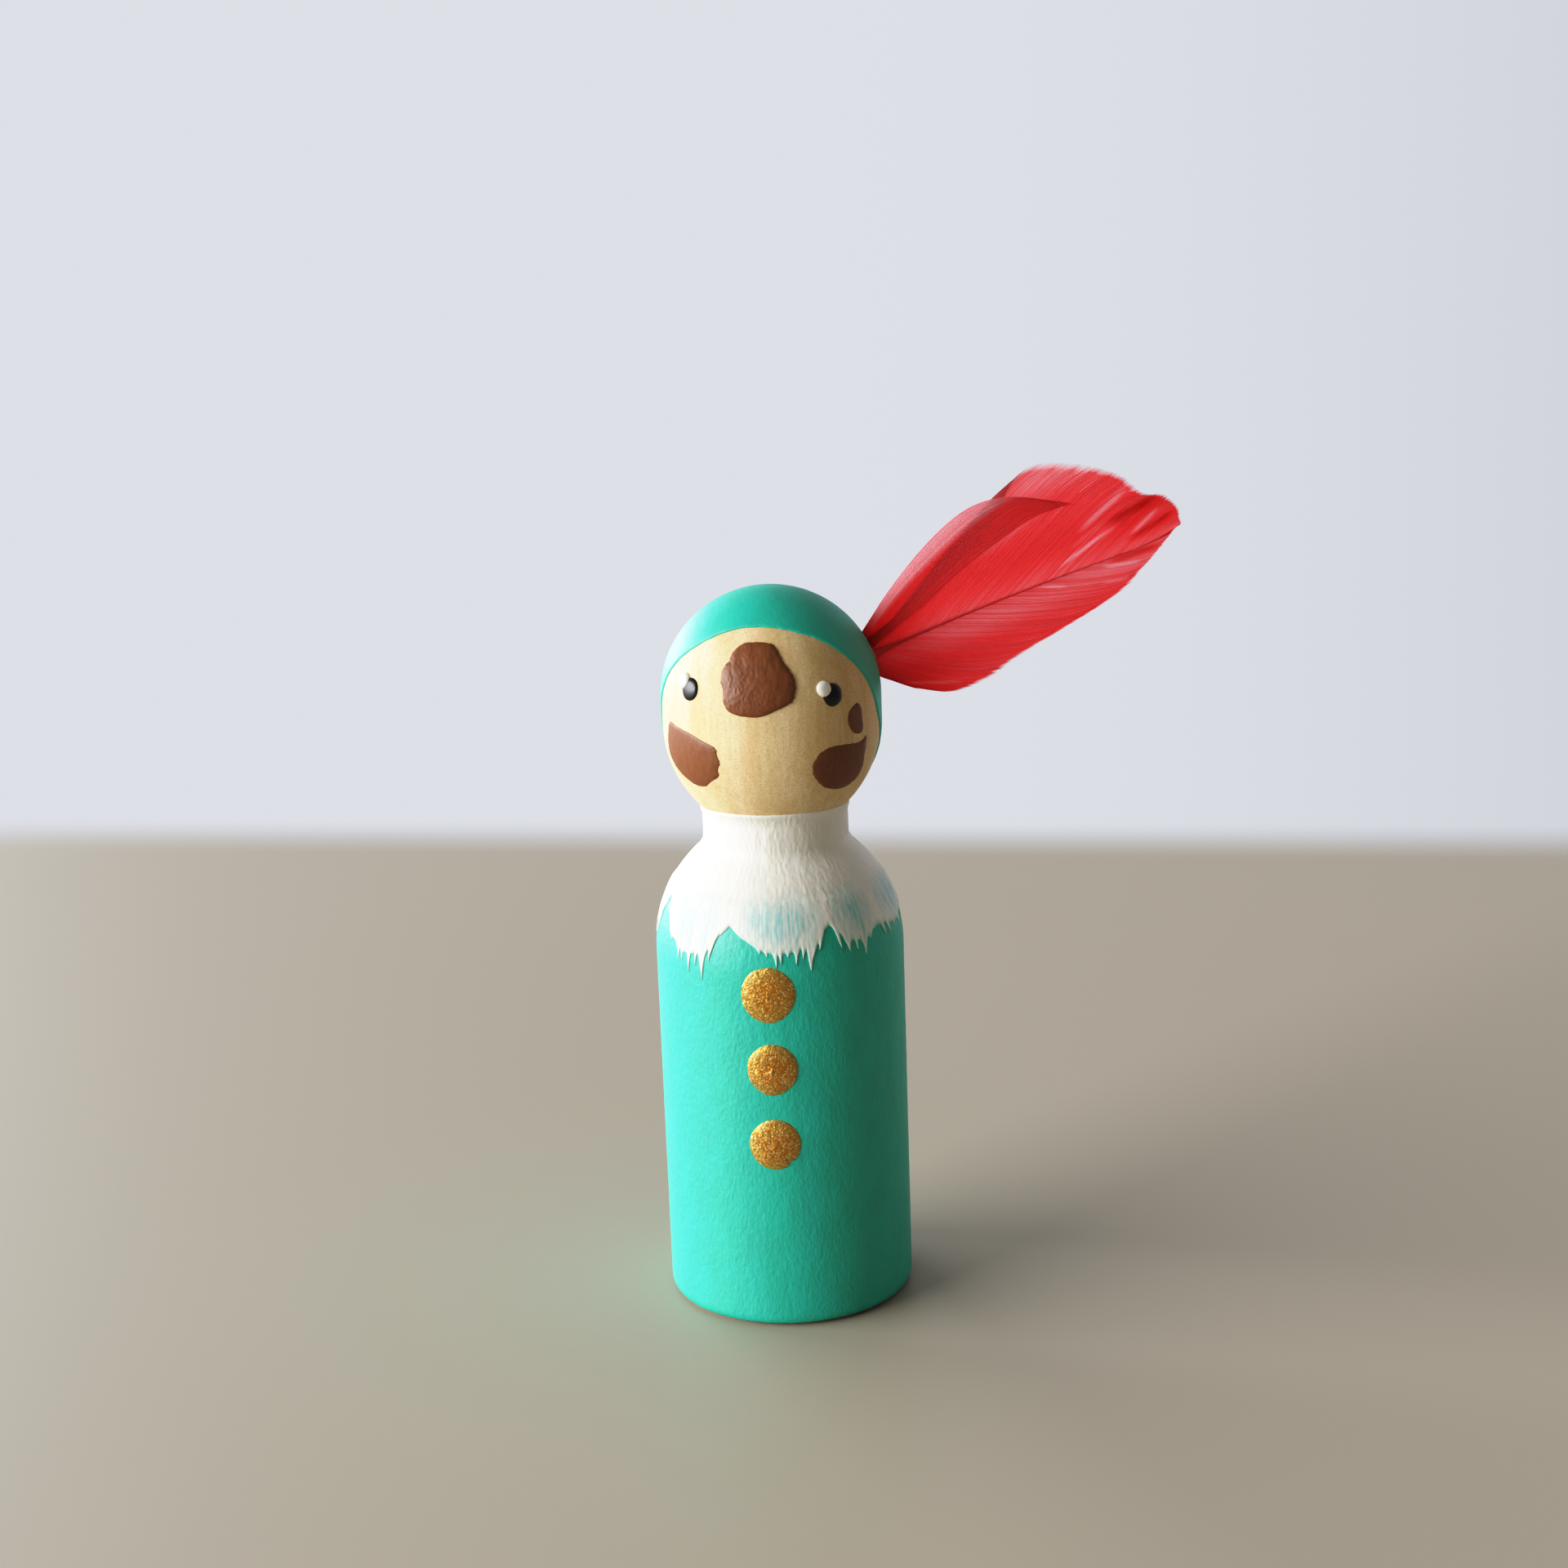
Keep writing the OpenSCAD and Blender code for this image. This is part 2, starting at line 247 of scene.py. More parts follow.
def brushed_teal(name, relief_strength):
    """Teal acrylic, satin: an even colour with a soft broad shine, and bumps of 0.2 to 0.5 mm, longer
    upright than across, from the brush and the grain."""
    made, tree = material(name)
    place = add(tree, "ShaderNodeTexCoord", {})
    upright = add(tree, "ShaderNodeMapping", {0: (place, "Object"), "Scale": (1, 1, 0.55)})
    bumps = noise(tree, (upright, 0), 3600, 3, 0.55)
    patches = noise(tree, (upright, 0), 500, 2)
    mottle = remap(tree, (patches, 0), 0.3, 0.7)
    colour = blend(tree, (mottle, 0), linear("#03b198"), linear("#04baa2"))
    shine = remap(tree, (bumps, 0), to_low=0.48, to_high=0.6)
    relief = add(
        tree, "ShaderNodeBump", {"Strength": relief_strength, "Distance": 0.00008, "Height": (bumps, 0)},
    )
    shader = add(
        tree, "ShaderNodeBsdfPrincipled",
        {
            "Base Color": (colour, 2), "Roughness": (shine, 0), "IOR": 1.5, "Specular IOR Level": 0.9,
            "Normal": (relief, 0),
        },
    )
    add(tree, "ShaderNodeOutputMaterial", {"Surface": (shader, 0)})
    return made


def round_edge(distance, width):
    """Share of the full thickness at a distance from a film's edge: a quarter circle over this width."""
    short = 1 - np.clip(distance / width, 0, 1)
    return np.sqrt(1 - short**2)


teal = brushed_teal("brushed_teal_acrylic", 0.7)
turn = np.linspace(0, 2 * math.pi, COAT_COLUMNS, endpoint=False)[None, :]
outer_z = np.linspace(COAT_LOW, COAT_HIGH, COAT_ROWS)[:, None]
inner_z = np.linspace(COAT_HIGH, COAT_LOW, INNER_ROWS)[:, None]
share = turn / (2 * math.pi)
bumps = 0.012 * ripple(share, outer_z / DOLL_H, (240, 150), 11)
bumps = bumps + 0.006 * ripple(share, outer_z / DOLL_H, (70, 30), 12)
film = COAT_T * round_edge(np.minimum(outer_z - COAT_LOW, COAT_HIGH - outer_z) + 0.01, 0.3) + bumps
body_coat = surface(
    "teal_body_coat",
    np.concatenate([on_wall(turn, outer_z, film), on_wall(turn, inner_z, -0.01 + 0 * turn)]),
    looped=True, flip=True,
)
fit(body_coat, teal, "teal_paint", "body_coat")


# ---- Teal cap ----
# The same teal paint over the top and back of the head. Its edge runs over the forehead and down both
# sides, as one sweep of the brush, and it stops just above the white neck behind.

CAP_TILT = math.radians(61.4)
CAP_EDGE = -2.06
CAP_COLUMNS = 360
CAP_ROWS = 110
UNDER_ROWS = 14


def head_point(direction, lift):
    """Points where rays from the centre of the head leave it, moved out by lift. Above the centre the head
    is a ball, and below it a short straight band and then the jaw's arc, where the ray's length solves a
    quadratic equation."""
    flat = np.hypot(direction[..., 0], direction[..., 1])
    drop = -direction[..., 2]
    band = HEAD_R / np.maximum(flat, 1e-6)
    centre_r, centre_h = HEAD_R - JAW_R, HEAD_Z - JAW_Z
    half_b = -centre_r * flat - centre_h * drop
    arc = -half_b + np.sqrt(np.maximum(half_b**2 - centre_r**2 - centre_h**2 + JAW_R**2, 0))
    length = np.where(drop <= 0, HEAD_R, np.where(band * drop <= centre_h, band, arc))
    z = HEAD_Z + length * direction[..., 2]
    return on_wall(np.arctan2(direction[..., 0], -direction[..., 1]), z, lift)


beta = np.linspace(0, 2 * math.pi, CAP_COLUMNS, endpoint=False)
pole = np.array([0, math.sin(CAP_TILT), math.cos(CAP_TILT)])
across = np.array([1.0, 0, 0])
brow_way = np.cross(pole, across)
spoke = np.cos(beta)[:, None] * across + np.sin(beta)[:, None] * brow_way
around = beta / (2 * math.pi)
wobble = 0.012 * ripple(around, 0 * beta, (26, 1), 21) + 0.004 * ripple(around, 0 * beta, (120, 1), 22)
edge_angle = math.acos(CAP_EDGE / HEAD_R) + wobble
# Towards the nape the cap ends above the neck, so the edge is drawn in until it clears that height.
angles = np.linspace(0.2, math.pi, 400)[:, None]
sweep = np.cos(angles)[..., None] * pole + np.sin(angles)[..., None] * spoke[None]
nape = np.where(head_point(sweep, 0.0)[..., 2] < NECK_HIGH + 0.6, angles, 10).min(axis=0)
edge_angle = np.minimum(edge_angle, nape)
share = np.linspace(0, 1, CAP_ROWS)[1:, None]
angle = share * edge_angle
ways = np.cos(angle)[..., None] * pole + np.sin(angle)[..., None] * spoke[None]
bumps = 0.006 * ripple(around + 0 * angle, angle / math.pi, (150, 90), 23)
film = COAT_T * round_edge((edge_angle - angle) * HEAD_R + 0.01, 0.25) + bumps * np.minimum(share * 4, 1)
under = np.linspace(1, 0, UNDER_ROWS)[:-1, None] * edge_angle
under_ways = np.cos(under)[..., None] * pole + np.sin(under)[..., None] * spoke[None]
cap = surface(
    "teal_cap_coat",
    np.concatenate([head_point(ways, film), head_point(under_ways, np.full(under.shape, -0.01))]),
    capped=(True, True),
)
fit(cap, brushed_teal("smooth_teal_acrylic", 0.35), "teal_paint", "cap_coat")


# ---- White collar ----
# White acrylic on the neck and shoulder. The hem is a row of broad dabs of a flat brush, pulled down over
# the dry teal. Each is thick along its sides, shows some teal in the middle, and ends in bristle tips.

COLLAR_T = 0.17
COLLAR_COLUMNS = 1200
COLLAR_ROWS = 70
COLLAR_UNDER_ROWS = 30
# Height under which the strokes leave the full coat and thin out towards the hem.
SHOULDER_LINE = 40.0

# Each dab: turn of its left and right notch, heights of those notches, and height that its body reaches.
DABS = [
    (-66.5, -18, 38.4, 37.0, 34.2), (-18, 31, 37.0, 36.9, 34.9), (31, 60.5, 36.9, 35.9, 35.2),
    (60.5, 100, 35.9, 36.6, 35.3), (100, 141, 36.6, 37.2, 35.0), (141, 183, 37.2, 36.8, 34.8),
    (183, 225, 36.8, 37.3, 35.1), (225, 262, 37.3, 36.9, 34.9), (262, 293.5, 36.9, 38.4, 35.4),
]
# Each bristle tip: its turn, the height it reaches and half its width, as an angle.
TIPS = [
    (-57, 34.8, 4), (-50.5, 33.3, 2), (-46.8, 33.2, 1.4), (-40.2, 32.4, 2.2), (-34.5, 33.1, 1.6),
    (-29.6, 32.2, 4.6), (-25, 33.7, 2.4), (-5.5, 34.9, 2.2), (-2, 34.6, 1.5), (2.6, 33.5, 1.9),
    (5.6, 33.8, 1.6),
    (10, 34.5, 1.6), (14.8, 33.8, 1.9), (18.6, 34.2, 1.6), (22.8, 33.1, 4.6), (27, 34.8, 2.2),
    (33.5, 34.3, 1.2), (38, 34.2, 3), (43.5, 34.2, 1.4), (49.5, 33.7, 3.5), (54, 34.9, 3),
    (61.5, 34.5, 1.4), (66.5, 34.4, 1.8), (74, 34.8, 2), (83, 34.3, 3), (92, 34.9, 2.4),
]


def hem_height(turn_deg):
    """Lower edge of the white at each turn: for a dab, a curve from notch to notch that sags to its body's
    height, and cusps that drop from it at the bristle tips."""
    hem = np.full(turn_deg.shape, COAT_HIGH)
    middle = np.zeros(turn_deg.shape)
    for left, right, left_z, right_z, body_z in DABS:
        x = (turn_deg - left) / (right - left)
        inside = (x >= 0) & (x <= 1)
        x = np.clip(x, 0, 1)
        line = left_z + (right_z - left_z) * x
        belly = 1 - np.abs(2 * x - 1) ** 2.2
        hem = np.where(inside, line + (body_z - line) * belly, hem)
        middle = np.where(inside, belly, middle)
    return hem, middle


rng = np.random.default_rng(31)
back_tips = [
    (tip_turn + rng.uniform(-1.5, 1.5), 34.4 + rng.uniform(-1.2, 0.5), rng.uniform(1.3, 3.6))
    for tip_turn in range(101, 291, 6)
]
turn_deg = DABS[0][0] + np.linspace(0, 360, COLLAR_COLUMNS, endpoint=False)
hem, middle = hem_height(turn_deg)
for tip_turn, tip_z, half in TIPS + back_tips:
    near = np.clip(1 - np.abs(turn_deg - tip_turn) / half, 0, 1) ** 2
    hem = np.where(near > 0, np.minimum(hem, hem + (tip_z - hem) * near), hem)
hem = hem + 0.05 * ripple(turn_deg / 360, 0 * turn_deg, (500, 1), 32)
top = NECK_HIGH + 0.08 + 0.75 * np.clip(np.cos(np.radians(turn_deg - 8)), 0, 1)
top = top + 0.12 * ripple(turn_deg / 360, 0 * turn_deg, (9, 1), 36)


def soft_wall(turn, z, lift):
    """The turned outline with its sharp corners filled, as thick paint fills them: the mean of the outline's
    radius over 0.7 mm above and below, moved out by lift."""
    around = np.linspace(-0.7, 0.7, 9)
    radius = np.mean([wall(z + step)[0] for step in around], axis=0)
    out, up = np.mean([wall(z + step)[1:] for step in around], axis=0)
    radius = radius + lift * out
    return np.stack([radius * np.sin(turn), -radius * np.cos(turn), z + lift * up + 0 * turn], axis=-1)


def leant(turn_deg, z):
    """Turn of a stroke at a height: below the notches the bristles of a dab draw together."""
    lean = np.zeros(turn_deg.shape)
    for left, right, *_ in DABS:
        x = (turn_deg - left) / (right - left)
        drawn = 0.085 * (right - left) * (np.cos(math.pi * np.clip(x, 0, 1)) + 0.25)
        lean = np.where((x >= 0) & (x <= 1), drawn, lean)
    return np.radians(turn_deg + lean * np.clip((37.6 - z) / 3.4, 0, 1) ** 1.3)


share = np.linspace(0, 1, COLLAR_ROWS)[:, None]
z = top + (hem - top) * share
turn = leant(turn_deg, z)
low = np.clip(SHOULDER_LINE - z, 0, 5) / 5
around = turn / (2 * math.pi)
strokes = ripple(around, z / DOLL_H, (420, 26), 33)
pits = ripple(around, z / DOLL_H, (210, 150), 34)
waves = ripple(around, z / DOLL_H, (60, 40), 35)
edge = round_edge((z - hem) + 0.02, 0.5) * round_edge(top - z + 0.02, 0.3)
ridge = (1 - middle) * low
relief = 0.013 * pits + 0.02 * waves + 0.006 * low * strokes
film = edge * (COLLAR_T * (1 - 0.45 * low) + 0.05 * ridge + relief)
under_coat = COAT_T * np.clip((COAT_HIGH + 0.3 - z) / 0.6, 0, 1)
thin = np.clip(low * 2.4, 0, 1) * middle**1.1
thin = np.clip(thin * (0.85 + 0.5 * strokes) * np.clip((z - hem) / 2, 0.3, 1), 0, 1)
bare = np.clip(1 - (z - hem) / 0.55, 0, 1) * np.clip(low * 1.5, 0, 1)
share_in = np.linspace(1, 0, COLLAR_UNDER_ROWS)[:, None]
z_in = top + (hem - top) * share_in
under_in = COAT_T * np.clip((COAT_HIGH + 0.3 - z_in) / 0.6, 0, 1)
outside = soft_wall(turn, z, under_coat + film)
inside = on_wall(leant(turn_deg, z_in), z_in, under_in - 0.02)
collar = surface(
    "white_collar_coat",
    np.concatenate([outside, inside]),
    looped=True,
    values={"thin": np.concatenate([thin, 0 * z_in]), "bare": np.concatenate([bare, 0 * z_in])},
)


def brushed_white():
    """White acrylic, satin: warm white where it is thick, and tinted by the teal under it where the brush
    left it thin. Fine bumps of 0.2 to 0.4 mm follow the strokes."""
    made, tree = material("brushed_white_acrylic")
    place = add(tree, "ShaderNodeTexCoord", {})
    upright = add(tree, "ShaderNodeMapping", {0: (place, "Object"), "Scale": (1, 1, 0.45)})
    bumps = noise(tree, (upright, 0), 2300, 3)
    worn = add(tree, "ShaderNodeAttribute", {}, attribute_name="thin")
    long_stroke = add(tree, "ShaderNodeMapping", {0: (place, "Object"), "Scale": (1, 1, 0.12)})
    bristles = noise(tree, (long_stroke, 0), 2800, 2)
    streaks = remap(tree, (bristles, 0), 0.3, 0.7, 0.55, 1.0)
    see = add(tree, "ShaderNodeMath", {0: (worn, "Fac"), 1: (streaks, 0)}, operation="MULTIPLY")
    tint = blend(tree, (see, 0), linear("#ece9dd"), linear("#8ccacb"))
    rubbed = add(tree, "ShaderNodeAttribute", {}, attribute_name="bare")
    show = add(tree, "ShaderNodeMath", {0: (rubbed, "Fac"), 1: (streaks, 0)}, operation="MULTIPLY")
    fade = add(tree, "ShaderNodeMath", {0: (show, 0), 1: 0.6}, operation="MULTIPLY")
    colour = blend(tree, (fade, 0), (tint, 2), linear("#35bfa8"))
    relief = add(tree, "ShaderNodeBump", {"Strength": 0.6, "Distance": 0.00007, "Height": (bumps, 0)})
    shader = add(
        tree, "ShaderNodeBsdfPrincipled",
        {"Base Color": (colour, 2), "Roughness": 0.5, "IOR": 1.5, "Normal": (relief, 0)},
    )
    add(tree, "ShaderNodeOutputMaterial", {"Surface": (shader, 0)})
    return made


white = brushed_white()
fit(collar, white, "white_paint", "collar_coat")


# ---- Gold drops ----
# Three drops of gold metallic paint, set down the front with the end of a brush. Each dried as a low dome
# with a steep rim, full of fine flakes of glitter.

DROP_COLUMNS = 260
DROP_RADII = 60
PAD_UNDER_RADII = 9
GRAIN_SPAN = 12.0

# Each drop: name, turn, height of its middle, diameter, and how far it stands out of the teal.
GOLD_DROPS = [
    ("button_upper", 0.4, 31.3, 4.65, 0.36),
    ("button_middle", 1.1, 24.45, 4.4, 0.4),
    ("button_lower", 1.1, 17.5, 4.4, 0.38),
]


def pad(name, turn_deg, z, rim, lift, under=0.0, radii=DROP_RADII):
    """Closed low pad of paint. rim holds the sideways and upward distances of its outline from its middle,
    at turn_deg and height z. Rings shrink from the rim to the middle; each point lies on the turned outline
    moved out by under, which may be a function of place, plus lift at its share of the radius."""
    rising = np.sin(np.linspace(0, math.pi / 2, radii))[1:]
    share = np.concatenate([rising, np.linspace(1, 0, PAD_UNDER_RADII)[:-1]])[:, None]
    x, h = share * rim[:, 0], share * rim[:, 1]
    top = (np.arange(len(share)) < radii - 1)[:, None]
    beneath = under(x, h) if callable(under) else under
    height = np.where(top, beneath + np.maximum(lift(share, x, h), 0), beneath - 0.02)
    angle = math.radians(turn_deg) + np.arcsin(np.clip(x / wall(z + h)[0], -1, 1))
    return surface(name, on_wall(angle, z + h, height), capped=(True, True), values={"share": share})


def ring(width, height, columns=DROP_COLUMNS, uneven=0.0, seed=0):
    """Outline of an oval, whose radius varies a little with smooth noise."""
    around = np.linspace(0, 2 * math.pi, columns, endpoint=False)
    grow = 1 + uneven * ripple(around / (2 * math.pi), 0 * around, (14, 1), seed)
    return np.stack([grow * width / 2 * np.cos(around), grow * height / 2 * np.sin(around)], axis=-1)


def grains(x, h, size, seed):
    """Smooth noise on a pad's own plane, with cells of about this size."""
    cells = int(GRAIN_SPAN / size)
    return ripple(x / GRAIN_SPAN + 0.5, h / GRAIN_SPAN + 0.5, (cells, cells), seed)


def gold_glitter():
    """Gold craft paint with glitter: flakes of about 0.15 mm lie at all angles in an amber binder, so that a
    few catch the light. Random flakes also carry painted glints, a pale colour, and painted shade, a dark
    one. The film thins towards its rim, where it is paler and lets some teal through."""
    made, tree = material("gold_glitter_paint")
    place = add(tree, "ShaderNodeTexCoord", {})
    flake = add(tree, "ShaderNodeTexVoronoi", {"Vector": (place, "Object"), "Scale": 9000}, feature="F1")
    way = add(tree, "ShaderNodeVectorMath", {0: (flake, "Color"), 1: (0.5, 0.5, 0.5)}, operation="SUBTRACT")
    lean = add(tree, "ShaderNodeVectorMath", {0: (way, 0), "Scale": 0.6}, operation="SCALE")
    facing = add(tree, "ShaderNodeNewGeometry", {})
    tilted = add(tree, "ShaderNodeVectorMath", {0: (facing, "Normal"), 1: (lean, 0)}, operation="ADD")
    normal = add(tree, "ShaderNodeVectorMath", {0: (tilted, 0)}, operation="NORMALIZE")
    pick = add(tree, "ShaderNodeSeparateColor", {0: (flake, "Color")})
    radius = add(tree, "ShaderNodeAttribute", {}, attribute_name="share")
    outer = remap(tree, (radius, "Fac"), 0.35, 1.0)
    binder = blend(tree, (outer, 0), linear("#b97a24"), linear("#bb9444"))
    # Painted shade: random flakes are given a dark colour, as if turned away from the light.
    flake_painted_shade = remap(tree, (pick, 0), 0.0, 0.35, 0.35, 0.0)
    binder_with_painted_shade = blend(tree, (flake_painted_shade, 0), (binder, 2), linear("#7d4f14"))
    # Painted glints: random flakes are given a pale colour, so that they show as bright points.
    bright = remap(tree, (pick, 0), 0.72, 0.95)
    colour = blend(tree, (bright, 0), (binder_with_painted_shade, 2), linear("#ffe7a2"))
    polish = remap(tree, (pick, 1), to_low=0.3, to_high=0.55)
    shader = add(
        tree, "ShaderNodeBsdfPrincipled",
        {"Base Color": (colour, 2), "Metallic": 0.6, "Roughness": (polish, 0), "Normal": (normal, 0)},
    )
    add(tree, "ShaderNodeOutputMaterial", {"Surface": (shader, 0)})
    return made


gold = gold_glitter()
for number, (node, turn_deg, z, width, rise) in enumerate(GOLD_DROPS):
    rim = ring(width, width * 1.07, uneven=0.02, seed=41 + number)
    if node == "button_lower":
        # The lowest drop ran a little at its lower right, which left a nick in the rim.
        around = np.linspace(0, 2 * math.pi, DROP_COLUMNS, endpoint=False)
        rim *= (1 - 0.1 * np.exp(-((around - math.radians(310)) / 0.12) ** 2))[:, None]
    peak = 0.12 if node == "button_middle" else 0.03

    def lift(share, x, h):
        """Low dome: the rise times one less the share of the radius to the power 2.5, all to the power 0.7,
        with a small peak where the brush left it, and the grain of the glitter."""
        dome = rise * np.clip(1 - share**2.5, 0, 1) ** 0.7
        tip = peak * np.exp(-((x / 0.16) ** 2 + ((h + 0.1) / 0.3) ** 2))
        rough = 0.02 * grains(x, h, 0.11, 51 + number) + 0.02 * grains(x, h, 0.3, 54)
        return dome + tip + rough * (1 - share**8)

    drop = pad("gold_" + node, turn_deg, z, rim, lift, under=COAT_T)
    fit(drop, gold, "gold_paint", node)


# ---- Eyes ----
# A glossy black drop for each eye, and a smaller white drop that laps over its upper left for the glint.
# Both are domed, as drops from a dotting tool are.

EYE_D = 1.95
EYE_RISE = 0.26
GLINT_D = 1.36
GLINT_RISE = 0.42
GLINT_SIDE = -0.83
GLINT_UP = 0.62
EYE_COLUMNS = 120
EYE_RADII = 30

# Each eye: name, its turn and its height above the middle of the head.
EYES = [("left_eye", -40.8, 2.15), ("right_eye", 40.4, 1.55)]


def glossy_black():
    """Black gloss acrylic drop: it dried level and shiny, and mirrors the window."""
    made, tree = material("glossy_black_acrylic")
    place = add(tree, "ShaderNodeTexCoord", {})
    dust = noise(tree, (place, "Object"), 3500, 2)
    shine = remap(tree, (dust, 0), to_low=0.26, to_high=0.36)
    relief = add(tree, "ShaderNodeBump", {"Strength": 0.2, "Distance": 0.00003, "Height": (dust, 0)})
    shader = add(
        tree, "ShaderNodeBsdfPrincipled",
        {"Base Color": linear("#0d1012"), "Roughness": (shine, 0), "IOR": 1.5, "Normal": (relief, 0)},
    )
    add(tree, "ShaderNodeOutputMaterial", {"Surface": (shader, 0)})
    return made


def dotted_white():
    """White gloss acrylic drop: warm white with a wet look."""
    made, tree = material("dotted_white_acrylic")
    place = add(tree, "ShaderNodeTexCoord", {})
    dust = noise(tree, (place, "Object"), 3000, 2)
    colour = blend(tree, (dust, 0), linear("#efe9db"), linear("#f7f4ea"))
    shader = add(tree, "ShaderNodeBsdfPrincipled", {"Base Color": (colour, 2), "Roughness": 0.25, "IOR": 1.5})
    add(tree, "ShaderNodeOutputMaterial", {"Surface": (shader, 0)})
    return made


def eye_lift(share, x, h):
    """Dome of an eye: the rise times one less the share of the radius cubed, to the power 0.6."""
    return EYE_RISE * np.clip(1 - share**3, 0, 1) ** 0.6


def glint_lift(share, x, h):
    """Dome of a glint, with a steep side that stands out of the wood and the black drop alike."""
    return GLINT_RISE * np.sqrt(np.clip(1 - share**3.5, 0, 1)) * (1 - 0.12 * share**2)


black = glossy_black()
glint_white = dotted_white()
for node, turn_deg, height in EYES:
    z = HEAD_Z + height
    rim = ring(EYE_D, EYE_D, EYE_COLUMNS, 0.02, 61)
    eye = pad("black_" + node, turn_deg, z, rim, eye_lift, radii=EYE_RADII)
    fit(eye, black, "black_paint", node)
    glint_turn = turn_deg + math.degrees(GLINT_SIDE / float(wall(z)[0]))
    rim = ring(GLINT_D, GLINT_D, EYE_COLUMNS, 0.02, 63)
    glint = pad("white_" + node + "_glint", glint_turn, z + GLINT_UP, rim, glint_lift, radii=EYE_RADII)
    fit(glint, glint_white, "white_paint", node + "_glint")


# ---- Brown patches ----
# Brown acrylic. The patch on the forehead is thick and dried with a wrinkled skin. Those on the cheeks are
# thin and nearly flat, with edges that the brush left uneven.

BROW_T = 0.3
CHEEK_T = 0.12
PATCH_STEPS = 20

# Each patch: name, turn and height of its middle above the middle of the head, how thick it is, how much it
# is wrinkled, and its outline as sideways distances and heights above the middle of the head.
PATCHES = [
    ("brow_patch", 0, 3.3, BROW_T, 1.0, [
        (-1.5, 6.05), (-0.4, 6.25), (0.8, 6.15), (1.45, 5.75), (1.85, 5.1), (2.2, 4.5), (2.75, 3.85),
        (3.15, 3.0), (3.1, 1.95),
        (2.75, 1.3), (1.7, 0.8), (0.1, 0.25), (-1.5, 0.3), (-2.5, 0.65), (-3.0, 1.3), (-3.05, 2.3),
        (-3.25, 3.3), (-3.0, 4.2),
        (-2.55, 4.75), (-2.2, 5.45)]),
    ("left_cheek_patch", -44, -3.9, CHEEK_T, 0.3, [
        (-2.95, -1.5), (-2.5, -1.15), (-1.7, -1.3), (0.3, -1.65), (1.7, -2.05), (2.7, -2.4),
        (3.3, -2.7), (3.4, -3.4), (3.5, -4.0),
        (3.15, -4.75), (3.2, -5.1), (2.8, -5.5), (1.9, -6.0), (1.1, -6.5), (-0.2, -6.5), (-1.5, -6.0),
        (-2.7, -5.3), (-3.45, -4.2), (-3.4, -2.9)]),
    ("right_cheek_patch", 46, -5.0, CHEEK_T, 0.2, [
        (3.05, -2.85), (2.4, -3.05), (1.5, -3.1), (0, -2.95), (-1.4, -2.95), (-2.4, -3.35),
        (-2.95, -4.2), (-2.8, -5.2), (-2.2, -6.0),
        (-1.4, -6.65), (-0.2, -7.05), (1.1, -7.1), (2.4, -6.6), (2.95, -5.6), (2.95, -4.4)]),
    ("small_cheek_patch", 56, -0.9, CHEEK_T, 0.1, [
        (0, 0.35), (0.45, 0.2), (0.7, -0.3), (0.8, -1.2), (0.85, -2.0), (0.5, -2.35), (-0.3, -2.2),
        (-0.9, -1.6), (-1.1, -0.8), (-0.85, -0.1)]),
]


def cubic(p0, p1, p2, p3, t):
    """Points from p1 to p2 as t runs from 0 to 1, on the cubic whose slope at each of the two is half the
    way between its neighbours."""
    square = (p0 - 2.5 * p1 + 2 * p2 - p3 / 2) * t**2
    cube = (1.5 * (p1 - p2) + (p3 - p0) / 2) * t**3
    return p1 + (p2 - p0) * t / 2 + square + cube


def smooth_loop(points, steps):
    """Closed curve through the points, with this many steps along the cubic from one to the next."""
    p1 = np.array(points, float)[:, None, :]
    p0, p2, p3 = np.roll(p1, 1, 0), np.roll(p1, -1, 0), np.roll(p1, -2, 0)
    t = (np.arange(steps) / steps)[None, :, None]
    return cubic(p0, p1, p2, p3, t).reshape(-1, 2)


def wrinkled_brown():
    """Brown acrylic, half gloss: a skin with fine upright ridges about 0.2 mm apart, with painted shade that
    makes its hollows darker, and that breaks the light into small glints."""
    made, tree = material("wrinkled_brown_acrylic")
    place = add(tree, "ShaderNodeTexCoord", {})
    upright = add(tree, "ShaderNodeMapping", {0: (place, "Object"), "Scale": (1, 1, 0.5)})
    skin = noise(tree, (upright, 0), 3200, 3)
    # Painted shade: the noise that raises the ridges also darkens the colour where it is low, in the hollows.
    tone = remap(tree, (skin, 0), 0.3, 0.7)
    colour = blend(tree, (tone, 0), linear("#71411f"), linear("#7f4b28"))
    shine = remap(tree, (skin, 0), to_low=0.42, to_high=0.55)
    relief = add(tree, "ShaderNodeBump", {"Strength": 0.3, "Distance": 0.00004, "Height": (skin, 0)})
    shader = add(
        tree, "ShaderNodeBsdfPrincipled",
        {"Base Color": (colour, 2), "Roughness": (shine, 0), "IOR": 1.5, "Normal": (relief, 0)},
    )
    add(tree, "ShaderNodeOutputMaterial", {"Surface": (shader, 0)})
    return made


